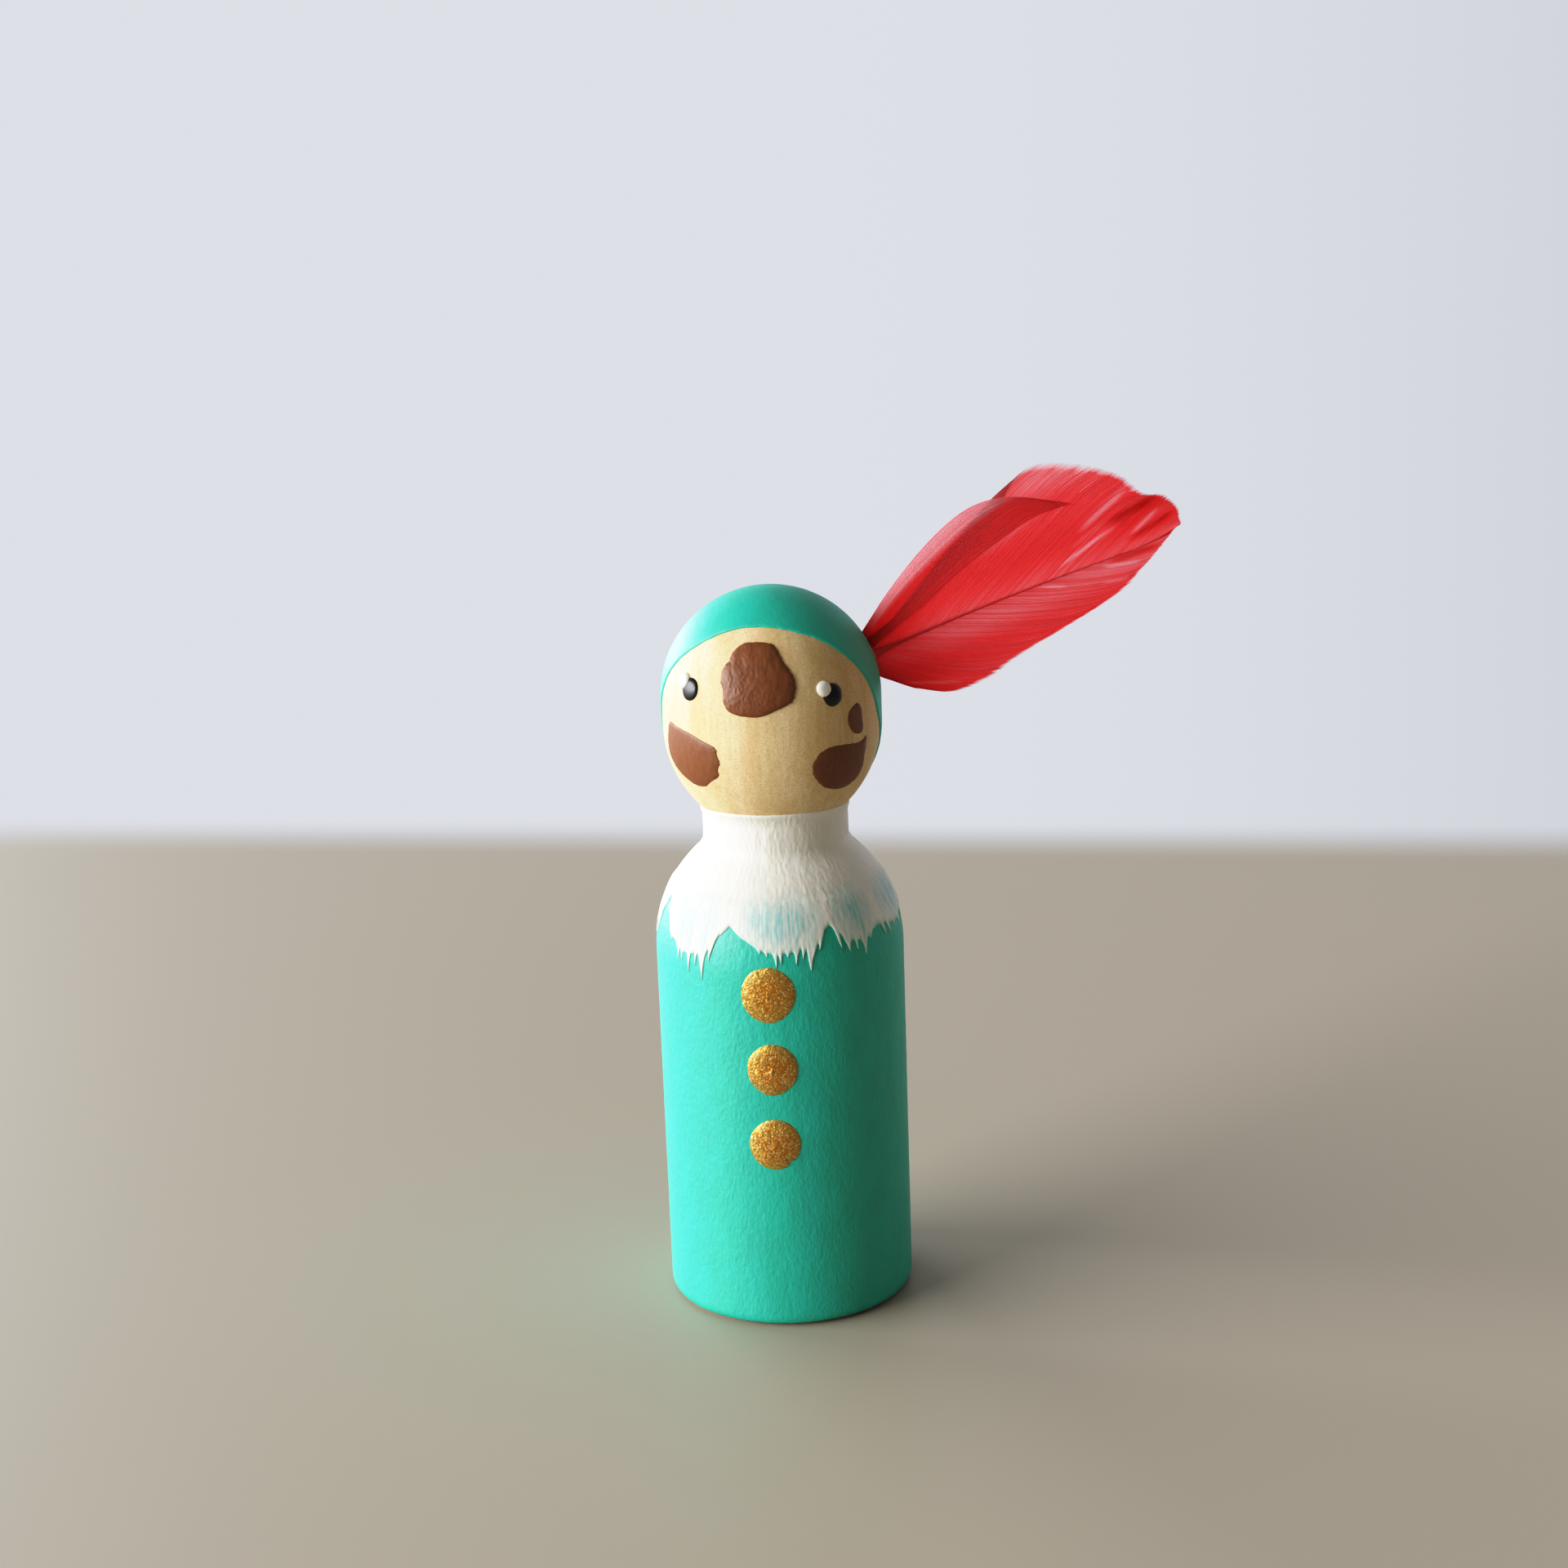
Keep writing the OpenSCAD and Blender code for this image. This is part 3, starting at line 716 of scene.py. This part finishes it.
brown = wrinkled_brown()
for number, (node, turn_deg, middle_h, thick, wrinkled, outline) in enumerate(PATCHES):
    rim = smooth_loop(outline, PATCH_STEPS) - (0, middle_h)
    along = np.arange(len(rim)) / len(rim)
    rim = rim * (1 + 0.012 * ripple(along, 0 * along, (70, 1), 71 + number))[:, None]

    def lift(share, x, h):
        """Flat film with a rounded rim: the thickness times the root of one less the share of the radius to
        the eighth power, with upright wrinkles."""
        skin = grains(x * 1.6, h, 0.9, 75 + number) * 0.03 + grains(x * 1.8, h * 0.8, 0.4, 79) * 0.008
        skin = skin + 0.022 * grains(x * 1.6, h, 0.25, 78) * np.clip(0.45 - 0.2 * x - 0.12 * h, 0, 1)
        return thick * np.sqrt(np.clip(1 - share**8, 0, 1)) + wrinkled * skin * (1 - share**6)

    patch = pad("brown_" + node, turn_deg, HEAD_Z + middle_h, rim, lift)
    fit(patch, brown, "brown_paint", node)


# ---- Feather shaft ----
# The horny quill of one small dyed plume. Its bare end sits in a hole drilled in the side of the head, and
# outside it tapers as a fine line between the vanes.

FEATHER_TURN = math.radians(109.5)
FEATHER_RISE = math.radians(17)
FEATHER_ROLL = math.radians(-16)
QUILL_R = 0.45
SHAFT_R = 0.16
SHAFT_TIP_R = 0.04
SHAFT_LEN = 29.5
SOCKET_DEPTH = 5.0

bearing = FEATHER_TURN - math.pi / 2
along = np.array([
    math.cos(FEATHER_RISE) * math.cos(bearing),
    math.cos(FEATHER_RISE) * math.sin(bearing),
    math.sin(FEATHER_RISE),
])
level = np.array([-math.sin(bearing), math.cos(bearing), 0])
steep = np.cross(along, level)
upward = math.cos(FEATHER_ROLL) * steep - math.sin(FEATHER_ROLL) * level
forward = np.cross(along, upward)
feather_root = np.array([0, 0, HEAD_Z]) + HEAD_R * along


def in_feather(s, t, n):
    """Points at a distance s along the shaft from the head, t across it in the vanes' plane and n in
    front of that plane."""
    return feather_root + s[..., None] * along + t[..., None] * upward + n[..., None] * forward


def shaft_line(s):
    """Small sideways bend of the shaft at a distance from the head: a half wave, and a lift at the tip."""
    return 0.28 * np.sin(math.pi * np.clip(s, 0, 26) / 26) + 0.012 * np.clip(s - 25, 0, 9) ** 2


def dyed_horn():
    """Quill of a dyed feather: smooth horn that took the dye a little darker than the barbs did. Thin horn
    lets some light through."""
    made, tree = material("dyed_quill")
    place = add(tree, "ShaderNodeTexCoord", {})
    cloud = noise(tree, (place, "Object"), 900, 2)
    colour = blend(tree, (cloud, 0), linear("#e8383c"), linear("#f4484c"))
    shader = add(tree, "ShaderNodeBsdfPrincipled", {"Base Color": (colour, 2), "Roughness": 0.4, "IOR": 1.55})
    through = add(tree, "ShaderNodeBsdfTranslucent", {"Color": (colour, 2)})
    both = add(tree, "ShaderNodeMixShader", {0: 0.35, 1: (shader, 0), 2: (through, 0)})
    add(tree, "ShaderNodeOutputMaterial", {"Surface": (both, 0)})
    return made


s = np.concatenate([np.linspace(-SOCKET_DEPTH, 0, 8)[:-1], np.linspace(0, SHAFT_LEN, 120)])[:, None]
girth = SHAFT_R + (SHAFT_TIP_R - SHAFT_R) * np.clip(s, 0, SHAFT_LEN) / SHAFT_LEN
girth = girth + (QUILL_R - SHAFT_R) * np.exp(-(np.clip(s, 0, 9) / 1.3) ** 2)
circle = np.linspace(0, 2 * math.pi, 16, endpoint=False)[None, :]
quill = surface(
    "dyed_feather_quill",
    in_feather(s + 0 * circle, shaft_line(s) + girth * np.sin(circle), girth * np.cos(circle) - 0.06),
    capped=(True, True), flip=True,
)
fit(quill, dyed_horn(), "dyed_quill", "feather_quill")


# ---- Feather vanes ----
# Rows of fine dyed barbs on both sides of the shaft. Above it the barbs from the base have folded forward
# into a lobe of their own, which laps over the broad vane's inner edge. Below it the vane is narrow.

BARB_POINTS = 30
BARB_THICK = 0.04
GUIDE_STEPS = 80
UPPER_BARBS = 240
LOWER_BARBS = 190
FRONT_BARBS = 80

# Guide barbs from the base to the tip of each vane. Each runs from the shaft outwards, and its points are
# distances along the shaft and across it.
UPPER_GUIDES = [
    [(-0.3, 1.3), (4.9, 2.8), (9.9, 4.6), (14.0, 6.5), (16.9, 9.1)],
    [(-0.3, 0.7), (4.9, 3.1), (10.0, 5.7), (14.4, 8.0), (18.2, 9.9)],
    [(-0.2, 0.15), (5.3, 3.4), (10.6, 6.4), (15.4, 8.8), (19.9, 10.4)],
    [(3.0, 0.0), (8.0, 2.8), (13.1, 5.9), (17.9, 8.5), (21.8, 10.0)],
    [(6.8, 0.0), (11.6, 2.6), (16.4, 5.2), (20.9, 7.5), (24.6, 8.6)],
    [(11.5, 0.0), (16.0, 2.3), (20.2, 4.4), (24.0, 6.1), (27.0, 6.8)],
    [(16.5, 0.0), (20.1, 1.8), (23.4, 3.3), (26.3, 4.3), (28.5, 4.5)],
    [(21.0, 0.0), (23.8, 1.3), (26.3, 2.4), (28.5, 3.2), (30.3, 3.5)],
    [(25.0, 0.0), (26.8, 0.8), (28.4, 1.4), (29.8, 1.9), (31.0, 2.0)],
    [(28.4, 0.0), (29.1, 0.15), (29.7, 0.3), (30.3, 0.45), (30.8, 0.6)],
]
LOWER_GUIDES = [
    [(-0.35, -1.7), (0.2, -2.3), (0.9, -2.9), (1.7, -3.6), (2.7, -4.35)],
    [(-0.15, -0.9), (0.8, -2.2), (2.1, -3.5), (3.8, -4.8), (5.6, -5.75)],
    [(-0.1, -0.15), (1.8, -2.0), (3.9, -3.6), (6.2, -5.0), (8.8, -5.8)],
    [(0.8, 0.0), (3.4, -1.7), (6.2, -3.3), (9.3, -4.5), (12.6, -4.9)],
    [(3.2, 0.0), (6.8, -1.6), (10.6, -3.0), (14.6, -4.0), (18.6, -3.95)],
    [(9.2, 0.0), (12.6, -1.3), (16.1, -2.4), (19.8, -3.2), (23.4, -2.95)],
    [(16.2, 0.0), (18.9, -0.9), (21.5, -1.5), (23.9, -1.9), (25.9, -1.8)],
    [(22.0, 0.0), (23.5, -0.4), (24.9, -0.75), (26.4, -0.95), (27.8, -0.9)],
    [(27.6, 0.05), (28.4, 0.15), (29.2, 0.3), (30.0, 0.5), (30.8, 0.75)],
]
FRONT_GUIDES = [
    [(-0.2, 2.05), (4.4, 5.05), (9.0, 7.45), (13.2, 8.8), (17.0, 8.4), (21.6, 6.1)],
    [(0.1, 1.6), (4.9, 4.1), (9.3, 5.95), (13.5, 7.4), (17.3, 7.9), (21.7, 6.05)],
    [(0.2, 1.1), (5.1, 3.1), (9.8, 5.1), (14.0, 6.3), (17.7, 7.1), (21.8, 6.0)],
    [(0.4, 0.5), (5.4, 2.1), (10.2, 3.9), (14.4, 5.1), (18.2, 6.0), (21.8, 5.95)],
]


def between(points, x):
    """Smooth curve through points spaced evenly from 0 to 1 along the first axis, at each x: the cubic from
    point to point. Past each end it takes a point as far beyond the end as the one before it."""
    points = np.asarray(points, float)
    padded = np.concatenate([2 * points[:1] - points[1:2], points, 2 * points[-1:] - points[-2:-1]])
    place = np.clip(x, 0, 1) * (len(points) - 1)
    i = np.minimum(place.astype(int), len(points) - 2)
    t = (place - i).reshape(-1, *[1] * (points.ndim - 1))
    return cubic(padded[i], padded[i + 1], padded[i + 2], padded[i + 3], t)


def barbs(name, guides, count, height, tone, seed, cover):
    """Mesh of barbs, each a closed tube of four sides that follows a curve between the guide barbs. A barb's
    place u runs from 0 to 1 along the vane, and v from 0 at the shaft to 1 at its tip. It is as wide as
    cover times the distance to its neighbours, and its end narrows to a point. height gives how far it lies
    in front of the feather's plane, and tone how pale it is, from -1 to 1."""
    rng = np.random.default_rng(seed)
    u = np.linspace(0, 1, count)
    v = np.linspace(0, 1, BARB_POINTS) ** 0.9
    reach = 1 - 0.03 * rng.random(count) ** 4
    lattice = between(np.asarray(guides, float), u)
    table = between(lattice.transpose(1, 0, 2), np.linspace(0, 1, GUIDE_STEPS))
    table[..., 1] += shaft_line(table[..., 0]) * np.linspace(1, 0, GUIDE_STEPS)[:, None]
    place = (v[:, None] * reach[None, :]) * (GUIDE_STEPS - 1)
    low = np.minimum(place.astype(int), GUIDE_STEPS - 2)
    share = (place - low)[..., None]
    column = np.arange(count)[None, :]
    side = (np.gradient(table, u, axis=1) / (count - 1))[low, column]
    lanes, rows = u[None, :] + 0 * v[:, None], v[:, None] + 0 * u[None, :]
    waver = 0.3 * ripple(lanes, rows, (count // 2, 5), seed + 1)
    waver = waver + 0.8 * ripple(lanes, rows, (count // 7, 3), seed + 2)
    flat = table[low, column] * (1 - share) + table[low + 1, column] * share
    flat = flat + side * (waver * rows)[..., None]
    s, t = flat[..., 0], flat[..., 1]
    n = height(lanes, rows, s, t)
    n = n + 0.012 * (np.arange(count) % 2)[None, :] + 0.012 * rng.uniform(-1, 1, count)[None, :]
    narrow = np.clip((1 - rows) / 0.07, 0.05, 1) ** 0.7
    half = side * (cover(s, t) / 2 * narrow)[..., None]
    tilt = np.gradient(n, axis=1) / 2 * narrow
    thick = BARB_THICK / 2 * narrow
    corners = np.stack([
        in_feather(s + half[..., 0], t + half[..., 1], n + tilt), in_feather(s, t, n + thick),
        in_feather(s - half[..., 0], t - half[..., 1], n - tilt), in_feather(s, t, n - thick),
    ], axis=2)
    index = np.arange(corners[..., 0].size).reshape(BARB_POINTS, count, 4)
    turned = np.roll(index, -1, axis=2)
    sides = np.stack([index[:-1], turned[:-1], turned[1:], index[1:]], axis=-1).reshape(-1, 4)
    ends = np.concatenate([index[0][:, ::-1], index[-1]])
    mesh = bpy.data.meshes.new(name)
    mesh.from_pydata((corners.reshape(-1, 3) * MM).tolist(), [], np.concatenate([sides, ends]).tolist())
    pale = tone(lanes, rows, s, t)
    pale = pale + (0.1 + 0.3 * np.clip(pale, 0, 0.6)) * rng.uniform(-1, 1, count)[None, :]
    data = mesh.attributes.new("tone", "FLOAT", "POINT").data
    data.foreach_set("value", np.repeat(np.clip(pale, -1, 1), 4).astype(np.float32))
    mesh.shade_smooth()
    piece = bpy.data.objects.new(name, mesh)
    bpy.context.scene.collection.objects.link(piece)
    return piece


def streak(s, t, start, end, width):
    """1 on the straight line from start to end in the vane's plane, falling off beside it as a bell curve of
    this width."""
    start, run = np.array(start), np.array(end) - np.array(start)
    along = np.clip(((s - start[0]) * run[0] + (t - start[1]) * run[1]) / (run @ run), 0, 1)
    away = np.hypot(s - start[0] - along * run[0], t - start[1] - along * run[1])
    return np.exp(-((away / width) ** 2)) * np.clip(4 * along * (1 - along) + 0.3, 0, 1)


# Painted highlights and painted shade along the creases and folds: pale streaks where they face the light,
# and deep red ones where they turn from it. Each streak: its two ends as distances along and across the
# shaft, its width and how much it changes the tone.
PAINTED_LIGHT_STREAKS = [
    ((19.0, 1.1), (24.9, 2.6), 0.16, 1.0), ((20.6, 2.2), (26.6, 4.2), 0.22, 0.45), ((21.8, 3.4),
    (27.2, 5.4), 0.3, 0.75),
    ((26.2, 1.4), (29.2, 2.7), 0.18, 0.7), ((22.7, -0.5), (25.7, -1.1), 0.16, 0.9), ((22.0, -1.8),
    (24.3, -2.2), 0.12, 0.6),
    ((16.7, 0.0), (18.6, -0.8), 0.14, 0.5), ((24.2, 3.1), (29.4, 3.8), 0.42, -0.9), ((25.8, 1.0),
    (30.4, 1.9), 0.3, -0.8),
    ((23.4, -0.2), (28.2, -0.5), 0.3, -0.8), ((11.6, 4.4), (20.0, 6.4), 0.3, 0.25), ((1.4, -3.3),
    (6.6, -5.2), 0.14, 0.5),
]


def streaks(s, t):
    """Sum of the painted highlight and shade streaks at a place."""
    return sum(amount * streak(s, t, start, end, width) for start, end, width, amount in PAINTED_LIGHT_STREAKS)


def upper_height(u, v, s, t):
    """The broad vane leans forward from the shaft, rolls back towards its outer edge, and is creased along
    its barbs near the tip."""
    roll = 0.1 * t - 0.022 * np.clip(t - 2, 0, 9) ** 2
    near_tip = np.clip((u - 0.5) / 0.2, 0, 1) * np.clip(v * 1.6 - 0.2, 0, 1)
    crease = 0.2 * np.sin(2 * math.pi * 7 * u + 0.6) * near_tip
    return roll + crease + 0.05 * np.sin(2 * math.pi * 3 * u) * v


def upper_tone(u, v, s, t):
    """Painted shade: deep red near the head, which shades the vane there. Painted light: pale where the outer
    lobe is a single thin layer that light from behind shines through. And the streaks.
    """
    # Painted light: the outer lobe is paler, as if lit through its single layer.
    lobe = np.clip((t - 6.6) / 2.4, 0, 1) * np.clip((s - 13) / 4, 0, 1)
    beside_shaft = 0.28 * np.exp(-((t / 1.3) ** 2)) - 0.18 * np.exp(-(((t - 3.4) / 1.3) ** 2))
    # Painted shade: the vane is darker near the head.
    return 0.05 - 0.5 * np.exp(-((s / 4.5) ** 2)) + 0.45 * lobe + beside_shaft + streaks(s, t)


def upper_cover(s, t):
    """Barbs overlap near the shaft and stand apart towards the outer lobe."""
    return 1.3 - 0.3 * np.clip((t - 6.5) / 3, 0, 1) * np.clip((s - 12) / 5, 0, 1)


def lower_height(u, v, s, t):
    """The narrow vane leans forward from the shaft, and its edge near the head curls back."""
    curl = 0.4 * np.clip(1 - s / 9, 0, 1) * np.clip(v - 0.6, 0, 1) ** 2 * 6
    return 0.28 * -t - 0.02 * t**2 - curl + 0.05 * np.sin(2 * math.pi * 4 * u) * v


def lower_tone(u, v, s, t):
    """Painted shade: deep red near the head, which shades the vane there, and deeper at the curled edge, in
    the shade of the curl. A little paler beside the shaft.
    """
    # Painted shade under the curled edge.
    edge = np.clip(v - 0.55, 0, 1) * np.clip(1 - s / 14, 0, 1)
    beside_shaft = 0.28 * np.exp(-(((t + 0.9) / 1.1) ** 2)) - 0.15 * np.exp(-(((t + 3.2) / 1.2) ** 2))
    return 0.15 - 0.35 * np.exp(-((s / 4) ** 2)) + beside_shaft - 0.35 * edge + streaks(s, t)


def front_height(u, v, s, t):
    """The folded lobe lies a little proud of the broad vane, and its outer strip curls back to the edge. The
    curl dies away where the lobe's edge meets the far part of the vane."""
    curl = 0.4 * np.clip(1 - u / 0.3, 0, 1) ** 1.6 * np.clip((15 - s) / 5, 0, 1) * np.clip(s / 3, 0, 1)
    return 0.1 * t - 0.022 * np.clip(t - 2, 0, 9) ** 2 + 0.08 + 0.04 * (1 - u) - curl


def front_tone(u, v, s, t):
    """Painted highlight: pale pink on the outer strip, whose curl faces the light. Painted shade: red that
    deepens inwards into the hollow, near the head and at the lobe's end.
    """
    # Painted highlight on the outer strip.
    strip = 1.15 * np.clip((0.42 - u) / 0.2, 0, 1) * np.clip(s / 1.5, 0, 1) * np.clip((19 - s) / 4, 0, 1)
    # Painted shade inwards into the hollow, near the head and at the lobe's end.
    deep = 0.2 * np.exp(-((s / 3.5) ** 2)) + 0.15 * np.clip(u / 0.6, 0, 1) + 0.2 * np.clip((s - 15) / 4, 0, 1)
    return -0.25 + strip - deep


def close_cover(s, t):
    """Barbs overlap everywhere."""
    return 1.3 + 0 * s


def dyed_barbs(name, deep_red, light_through):
    """Dyed feather barbs: strong red with a silky sheen. Light comes through them from behind, less of it
    where they lie double. Their tone holds painted highlights and painted shade, and each barb's own small
    difference in dye."""
    made, tree = material(name)
    # The tone attribute carries painted light and shade from the vanes, plus a random difference for each
    # barb.
    tone = add(tree, "ShaderNodeAttribute", {}, attribute_name="tone")
    deep = remap(tree, (tone, "Fac"), -1.0, 0.0)
    pale = remap(tree, (tone, "Fac"))
    body = blend(tree, (deep, 0), linear(deep_red), linear("#fd6a70"))
    colour = blend(tree, (pale, 0), (body, 2), linear("#ffc4cc"))
    shader = add(
        tree, "ShaderNodeBsdfPrincipled",
        {
            "Base Color": (colour, 2), "Roughness": 0.5, "IOR": 1.5,
            "Sheen Weight": 0.15, "Sheen Roughness": 0.4,
        },
    )
    through = add(tree, "ShaderNodeBsdfTranslucent", {"Color": (colour, 2)})
    both = add(tree, "ShaderNodeMixShader", {0: light_through, 1: (shader, 0), 2: (through, 0)})
    add(tree, "ShaderNodeOutputMaterial", {"Surface": (both, 0)})
    return made


red = dyed_barbs("dyed_red_barbs", "#e02a2a", 0.6)
# Painted light: the folded lobe has the same dye, but its material is a brighter copy of the red, with less
# light through it.
brightened_folded_red = dyed_barbs("brightened_red_folded_barbs", "#ff2626", 0.5)
upper = barbs("barbs_upper_vane", UPPER_GUIDES, UPPER_BARBS, upper_height, upper_tone, 81, upper_cover)
fit(upper, red, "dyed_feather", "feather_upper_vane")
lower = barbs("barbs_lower_vane", LOWER_GUIDES, LOWER_BARBS, lower_height, lower_tone, 84, close_cover)
fit(lower, red, "dyed_feather", "feather_lower_vane")
lobe = barbs("barbs_front_lobe", FRONT_GUIDES, FRONT_BARBS, front_height, front_tone, 87, close_cover)
fit(lobe, brightened_folded_red, "dyed_feather", "feather_front_lobe")


# ---- Glue ----
# A small bead of craft glue round the quill, where it enters the head. The feather's dye has stained it.

GLUE_R = 0.95
GLUE_RISE = 0.35
GLUE_COLUMNS = 80
GLUE_RADII = 20


def set_glue():
    """Set craft glue: satin, and red from the dye, with a little light in it."""
    made, tree = material("set_clear_glue")
    place = add(tree, "ShaderNodeTexCoord", {})
    cloud = noise(tree, (place, "Object"), 1500, 1)
    colour = blend(tree, (cloud, 0), linear("#a82c28"), linear("#bc4038"))
    shader = add(
        tree, "ShaderNodeBsdfPrincipled",
        {"Base Color": (colour, 2), "Roughness": 0.4, "IOR": 1.47, "Transmission Weight": 0.3},
    )
    add(tree, "ShaderNodeOutputMaterial", {"Surface": (shader, 0)})
    return made


def glue_lift(share, x, h):
    """Dome of the bead: its rise times one less the square of the share of the radius, to the power 0.8."""
    return GLUE_RISE * np.clip(1 - share**2, 0, 1) ** 0.8


rim = ring(2 * GLUE_R, 2 * GLUE_R, GLUE_COLUMNS, 0.08, 91)
glue = pad(
    "glue_bead", math.degrees(FEATHER_TURN), float(feather_root[2]), rim, glue_lift,
    under=COAT_T, radii=GLUE_RADII,
)
fit(glue, set_glue(), "clear_glue", "glue_bead")


# ---- Floor, light and camera ----
# A pale table top that ends behind the doll, a pale room, a large soft window on the left, a second one
# behind on the left, and a camera a little above the doll's head.

CAMERA_TURN = math.radians(6.5)
CAMERA_PITCH = math.radians(14.67)
CAMERA_ROLL = math.radians(-2.1)
CAMERA_AT = (27.1, -230.2, 107.9)
LENS = 61.97
TABLE_BACK = 147.5
TABLE_HALF = 1500.0
TABLE_FRONT = -3000.0
TABLE_FADE = 10.0
TABLE_TURN = math.radians(-2.2)
WINDOW_AWAY = 2000.0
WINDOW_AIM = 40.0


def pale_table():
    """Painted table top: warm pale grey with a satin shine, fading out softly at its far edge."""
    made, tree = material("pale_table")
    place = add(tree, "ShaderNodeTexCoord", {})
    cloud = noise(tree, (place, "Object"), 9, 1)
    colour = blend(tree, (cloud, 0), linear("#aba191"), linear("#aea494"))
    shader = add(
        tree, "ShaderNodeBsdfPrincipled",
        {"Base Color": (colour, 2), "Roughness": 0.5, "Specular IOR Level": 0.35},
    )
    split = add(tree, "ShaderNodeSeparateXYZ", {0: (place, "UV")})
    fade = remap(tree, (split, 1), interpolation_type="SMOOTHSTEP")
    clear = add(tree, "ShaderNodeBsdfTransparent", {})
    both = add(tree, "ShaderNodeMixShader", {0: (fade, 0), 1: (shader, 0), 2: (clear, 0)})
    add(tree, "ShaderNodeOutputMaterial", {"Surface": (both, 0)})
    return made


across = np.array([[-TABLE_HALF, TABLE_HALF]] * 3)
depth = np.array([[TABLE_FRONT] * 2, [TABLE_BACK - TABLE_FADE] * 2, [TABLE_BACK + TABLE_FADE] * 2])
cos_t, sin_t = math.cos(TABLE_TURN), math.sin(TABLE_TURN)
table_x, table_y = cos_t * across - sin_t * depth, sin_t * across + cos_t * depth
floor = surface("floor", np.stack([table_x, table_y, 0 * depth - 0.01], axis=-1), around=False)
fade_map = floor.data.uv_layers.new(name="fade")
fade_at = np.array([0.0, 0.0, 0.0, 0.0, 1.0, 1.0])
loop_vertex = np.empty(len(floor.data.loops), int)
floor.data.loops.foreach_get("vertex_index", loop_vertex)
fade_uv = np.stack([0 * loop_vertex, fade_at[loop_vertex]], axis=1)
fade_map.data.foreach_set("uv", fade_uv.ravel().astype(np.float32))
floor.data.materials.append(pale_table())


def window(name, turn_deg, rise_deg, width, height, power, colour):
    """Area light of this size that faces the doll from a turn about it and a rise above the level."""
    data = bpy.data.lights.new(name, "AREA")
    data.shape = "RECTANGLE"
    data.size = width * MM
    data.size_y = height * MM
    data.energy = power
    data.color = linear(colour)[:3]
    lamp = bpy.data.objects.new(name, data)
    a, e = math.radians(turn_deg), math.radians(rise_deg)
    way = Vector((math.sin(a) * math.cos(e), -math.cos(a) * math.cos(e), math.sin(e)))
    lamp.location = (way * WINDOW_AWAY + Vector((0, 0, WINDOW_AIM))) * MM
    lamp.rotation_euler = way.to_track_quat("Z", "Y").to_euler()
    bpy.context.scene.collection.objects.link(lamp)


window("left_window", -68, 16, 2000, 920, 82, "#fafcff")
window("back_window", -128, 9, 1600, 600, 44, "#f4f8ff")

world = bpy.data.worlds.new("pale_room")
world.use_nodes = True
room = world.node_tree
room.nodes.clear()
ray = add(room, "ShaderNodeLightPath", {})
way = add(room, "ShaderNodeTexCoord", {})
parts = add(room, "ShaderNodeSeparateXYZ", {0: (way, "Generated")})
behind = remap(room, (parts, 1), 0.0, 0.6, interpolation_type="SMOOTHSTEP")
height = remap(room, (parts, 2), 0.35, 0.75, 1.0, 0.0, interpolation_type="SMOOTHSTEP")
wall_part = add(room, "ShaderNodeMath", {0: (behind, 0), 1: (height, 0)}, operation="MULTIPLY")
above = remap(room, (parts, 2), 0.4, 0.8, interpolation_type="SMOOTHSTEP")
far = blend(room, (above, 0), (0.14, 0.127, 0.1, 1), (0.235, 0.227, 0.21, 1))
dim = blend(room, (wall_part, 0), (far, 2), linear("#dfe2ec"))
# Painted shade: the wall seen by the camera grows darker towards the right, away from the window.
sideways = remap(room, (parts, 0), -0.1, 0.45, interpolation_type="SMOOTHSTEP")
wall_with_painted_shade = blend(room, (sideways, 0), linear("#d8dbe4"), linear("#c1c3c9"))
seen = blend(room, (ray, "Is Camera Ray"), (dim, 2), (wall_with_painted_shade, 2))
glow = add(room, "ShaderNodeBackground", {"Color": (seen, 2), "Strength": 1.0})
add(room, "ShaderNodeOutputWorld", {"Surface": (glow, 0)})
bpy.context.scene.world = world

lens = bpy.data.cameras.new("camera")
lens.lens = LENS
lens.sensor_width = 36
lens.clip_start, lens.clip_end = 0.01, 20
camera = bpy.data.objects.new("camera", lens)
look = Matrix.Rotation(CAMERA_TURN, 4, "Z") @ Matrix.Rotation(math.pi / 2 - CAMERA_PITCH, 4, "X")
camera.matrix_world = Matrix.Translation(Vector(CAMERA_AT) * MM) @ look @ Matrix.Rotation(CAMERA_ROLL, 4, "Z")
bpy.context.scene.collection.objects.link(camera)
bpy.context.scene.camera = camera

# A print's contrast: darks a little deeper and the lightest tones rolled off softly. Each point of the curve
# is a brightness in the scene and how bright it is shown, and TONE_WHITE is the brightness shown as white.
TONE_WHITE = 1.6
TONE_CURVE = [(0.05, 0.035), (0.2, 0.19), (0.5, 0.53), (0.9, 0.86)]
view = bpy.context.scene.view_settings
view.view_transform = "Standard"
view.use_curve_mapping = True
view.curve_mapping.white_level = (TONE_WHITE,) * 3
tone_curve = view.curve_mapping.curves[3]
for bright, shown in TONE_CURVE:
    tone_curve.points.new(bright / TONE_WHITE, shown)
view.curve_mapping.update()
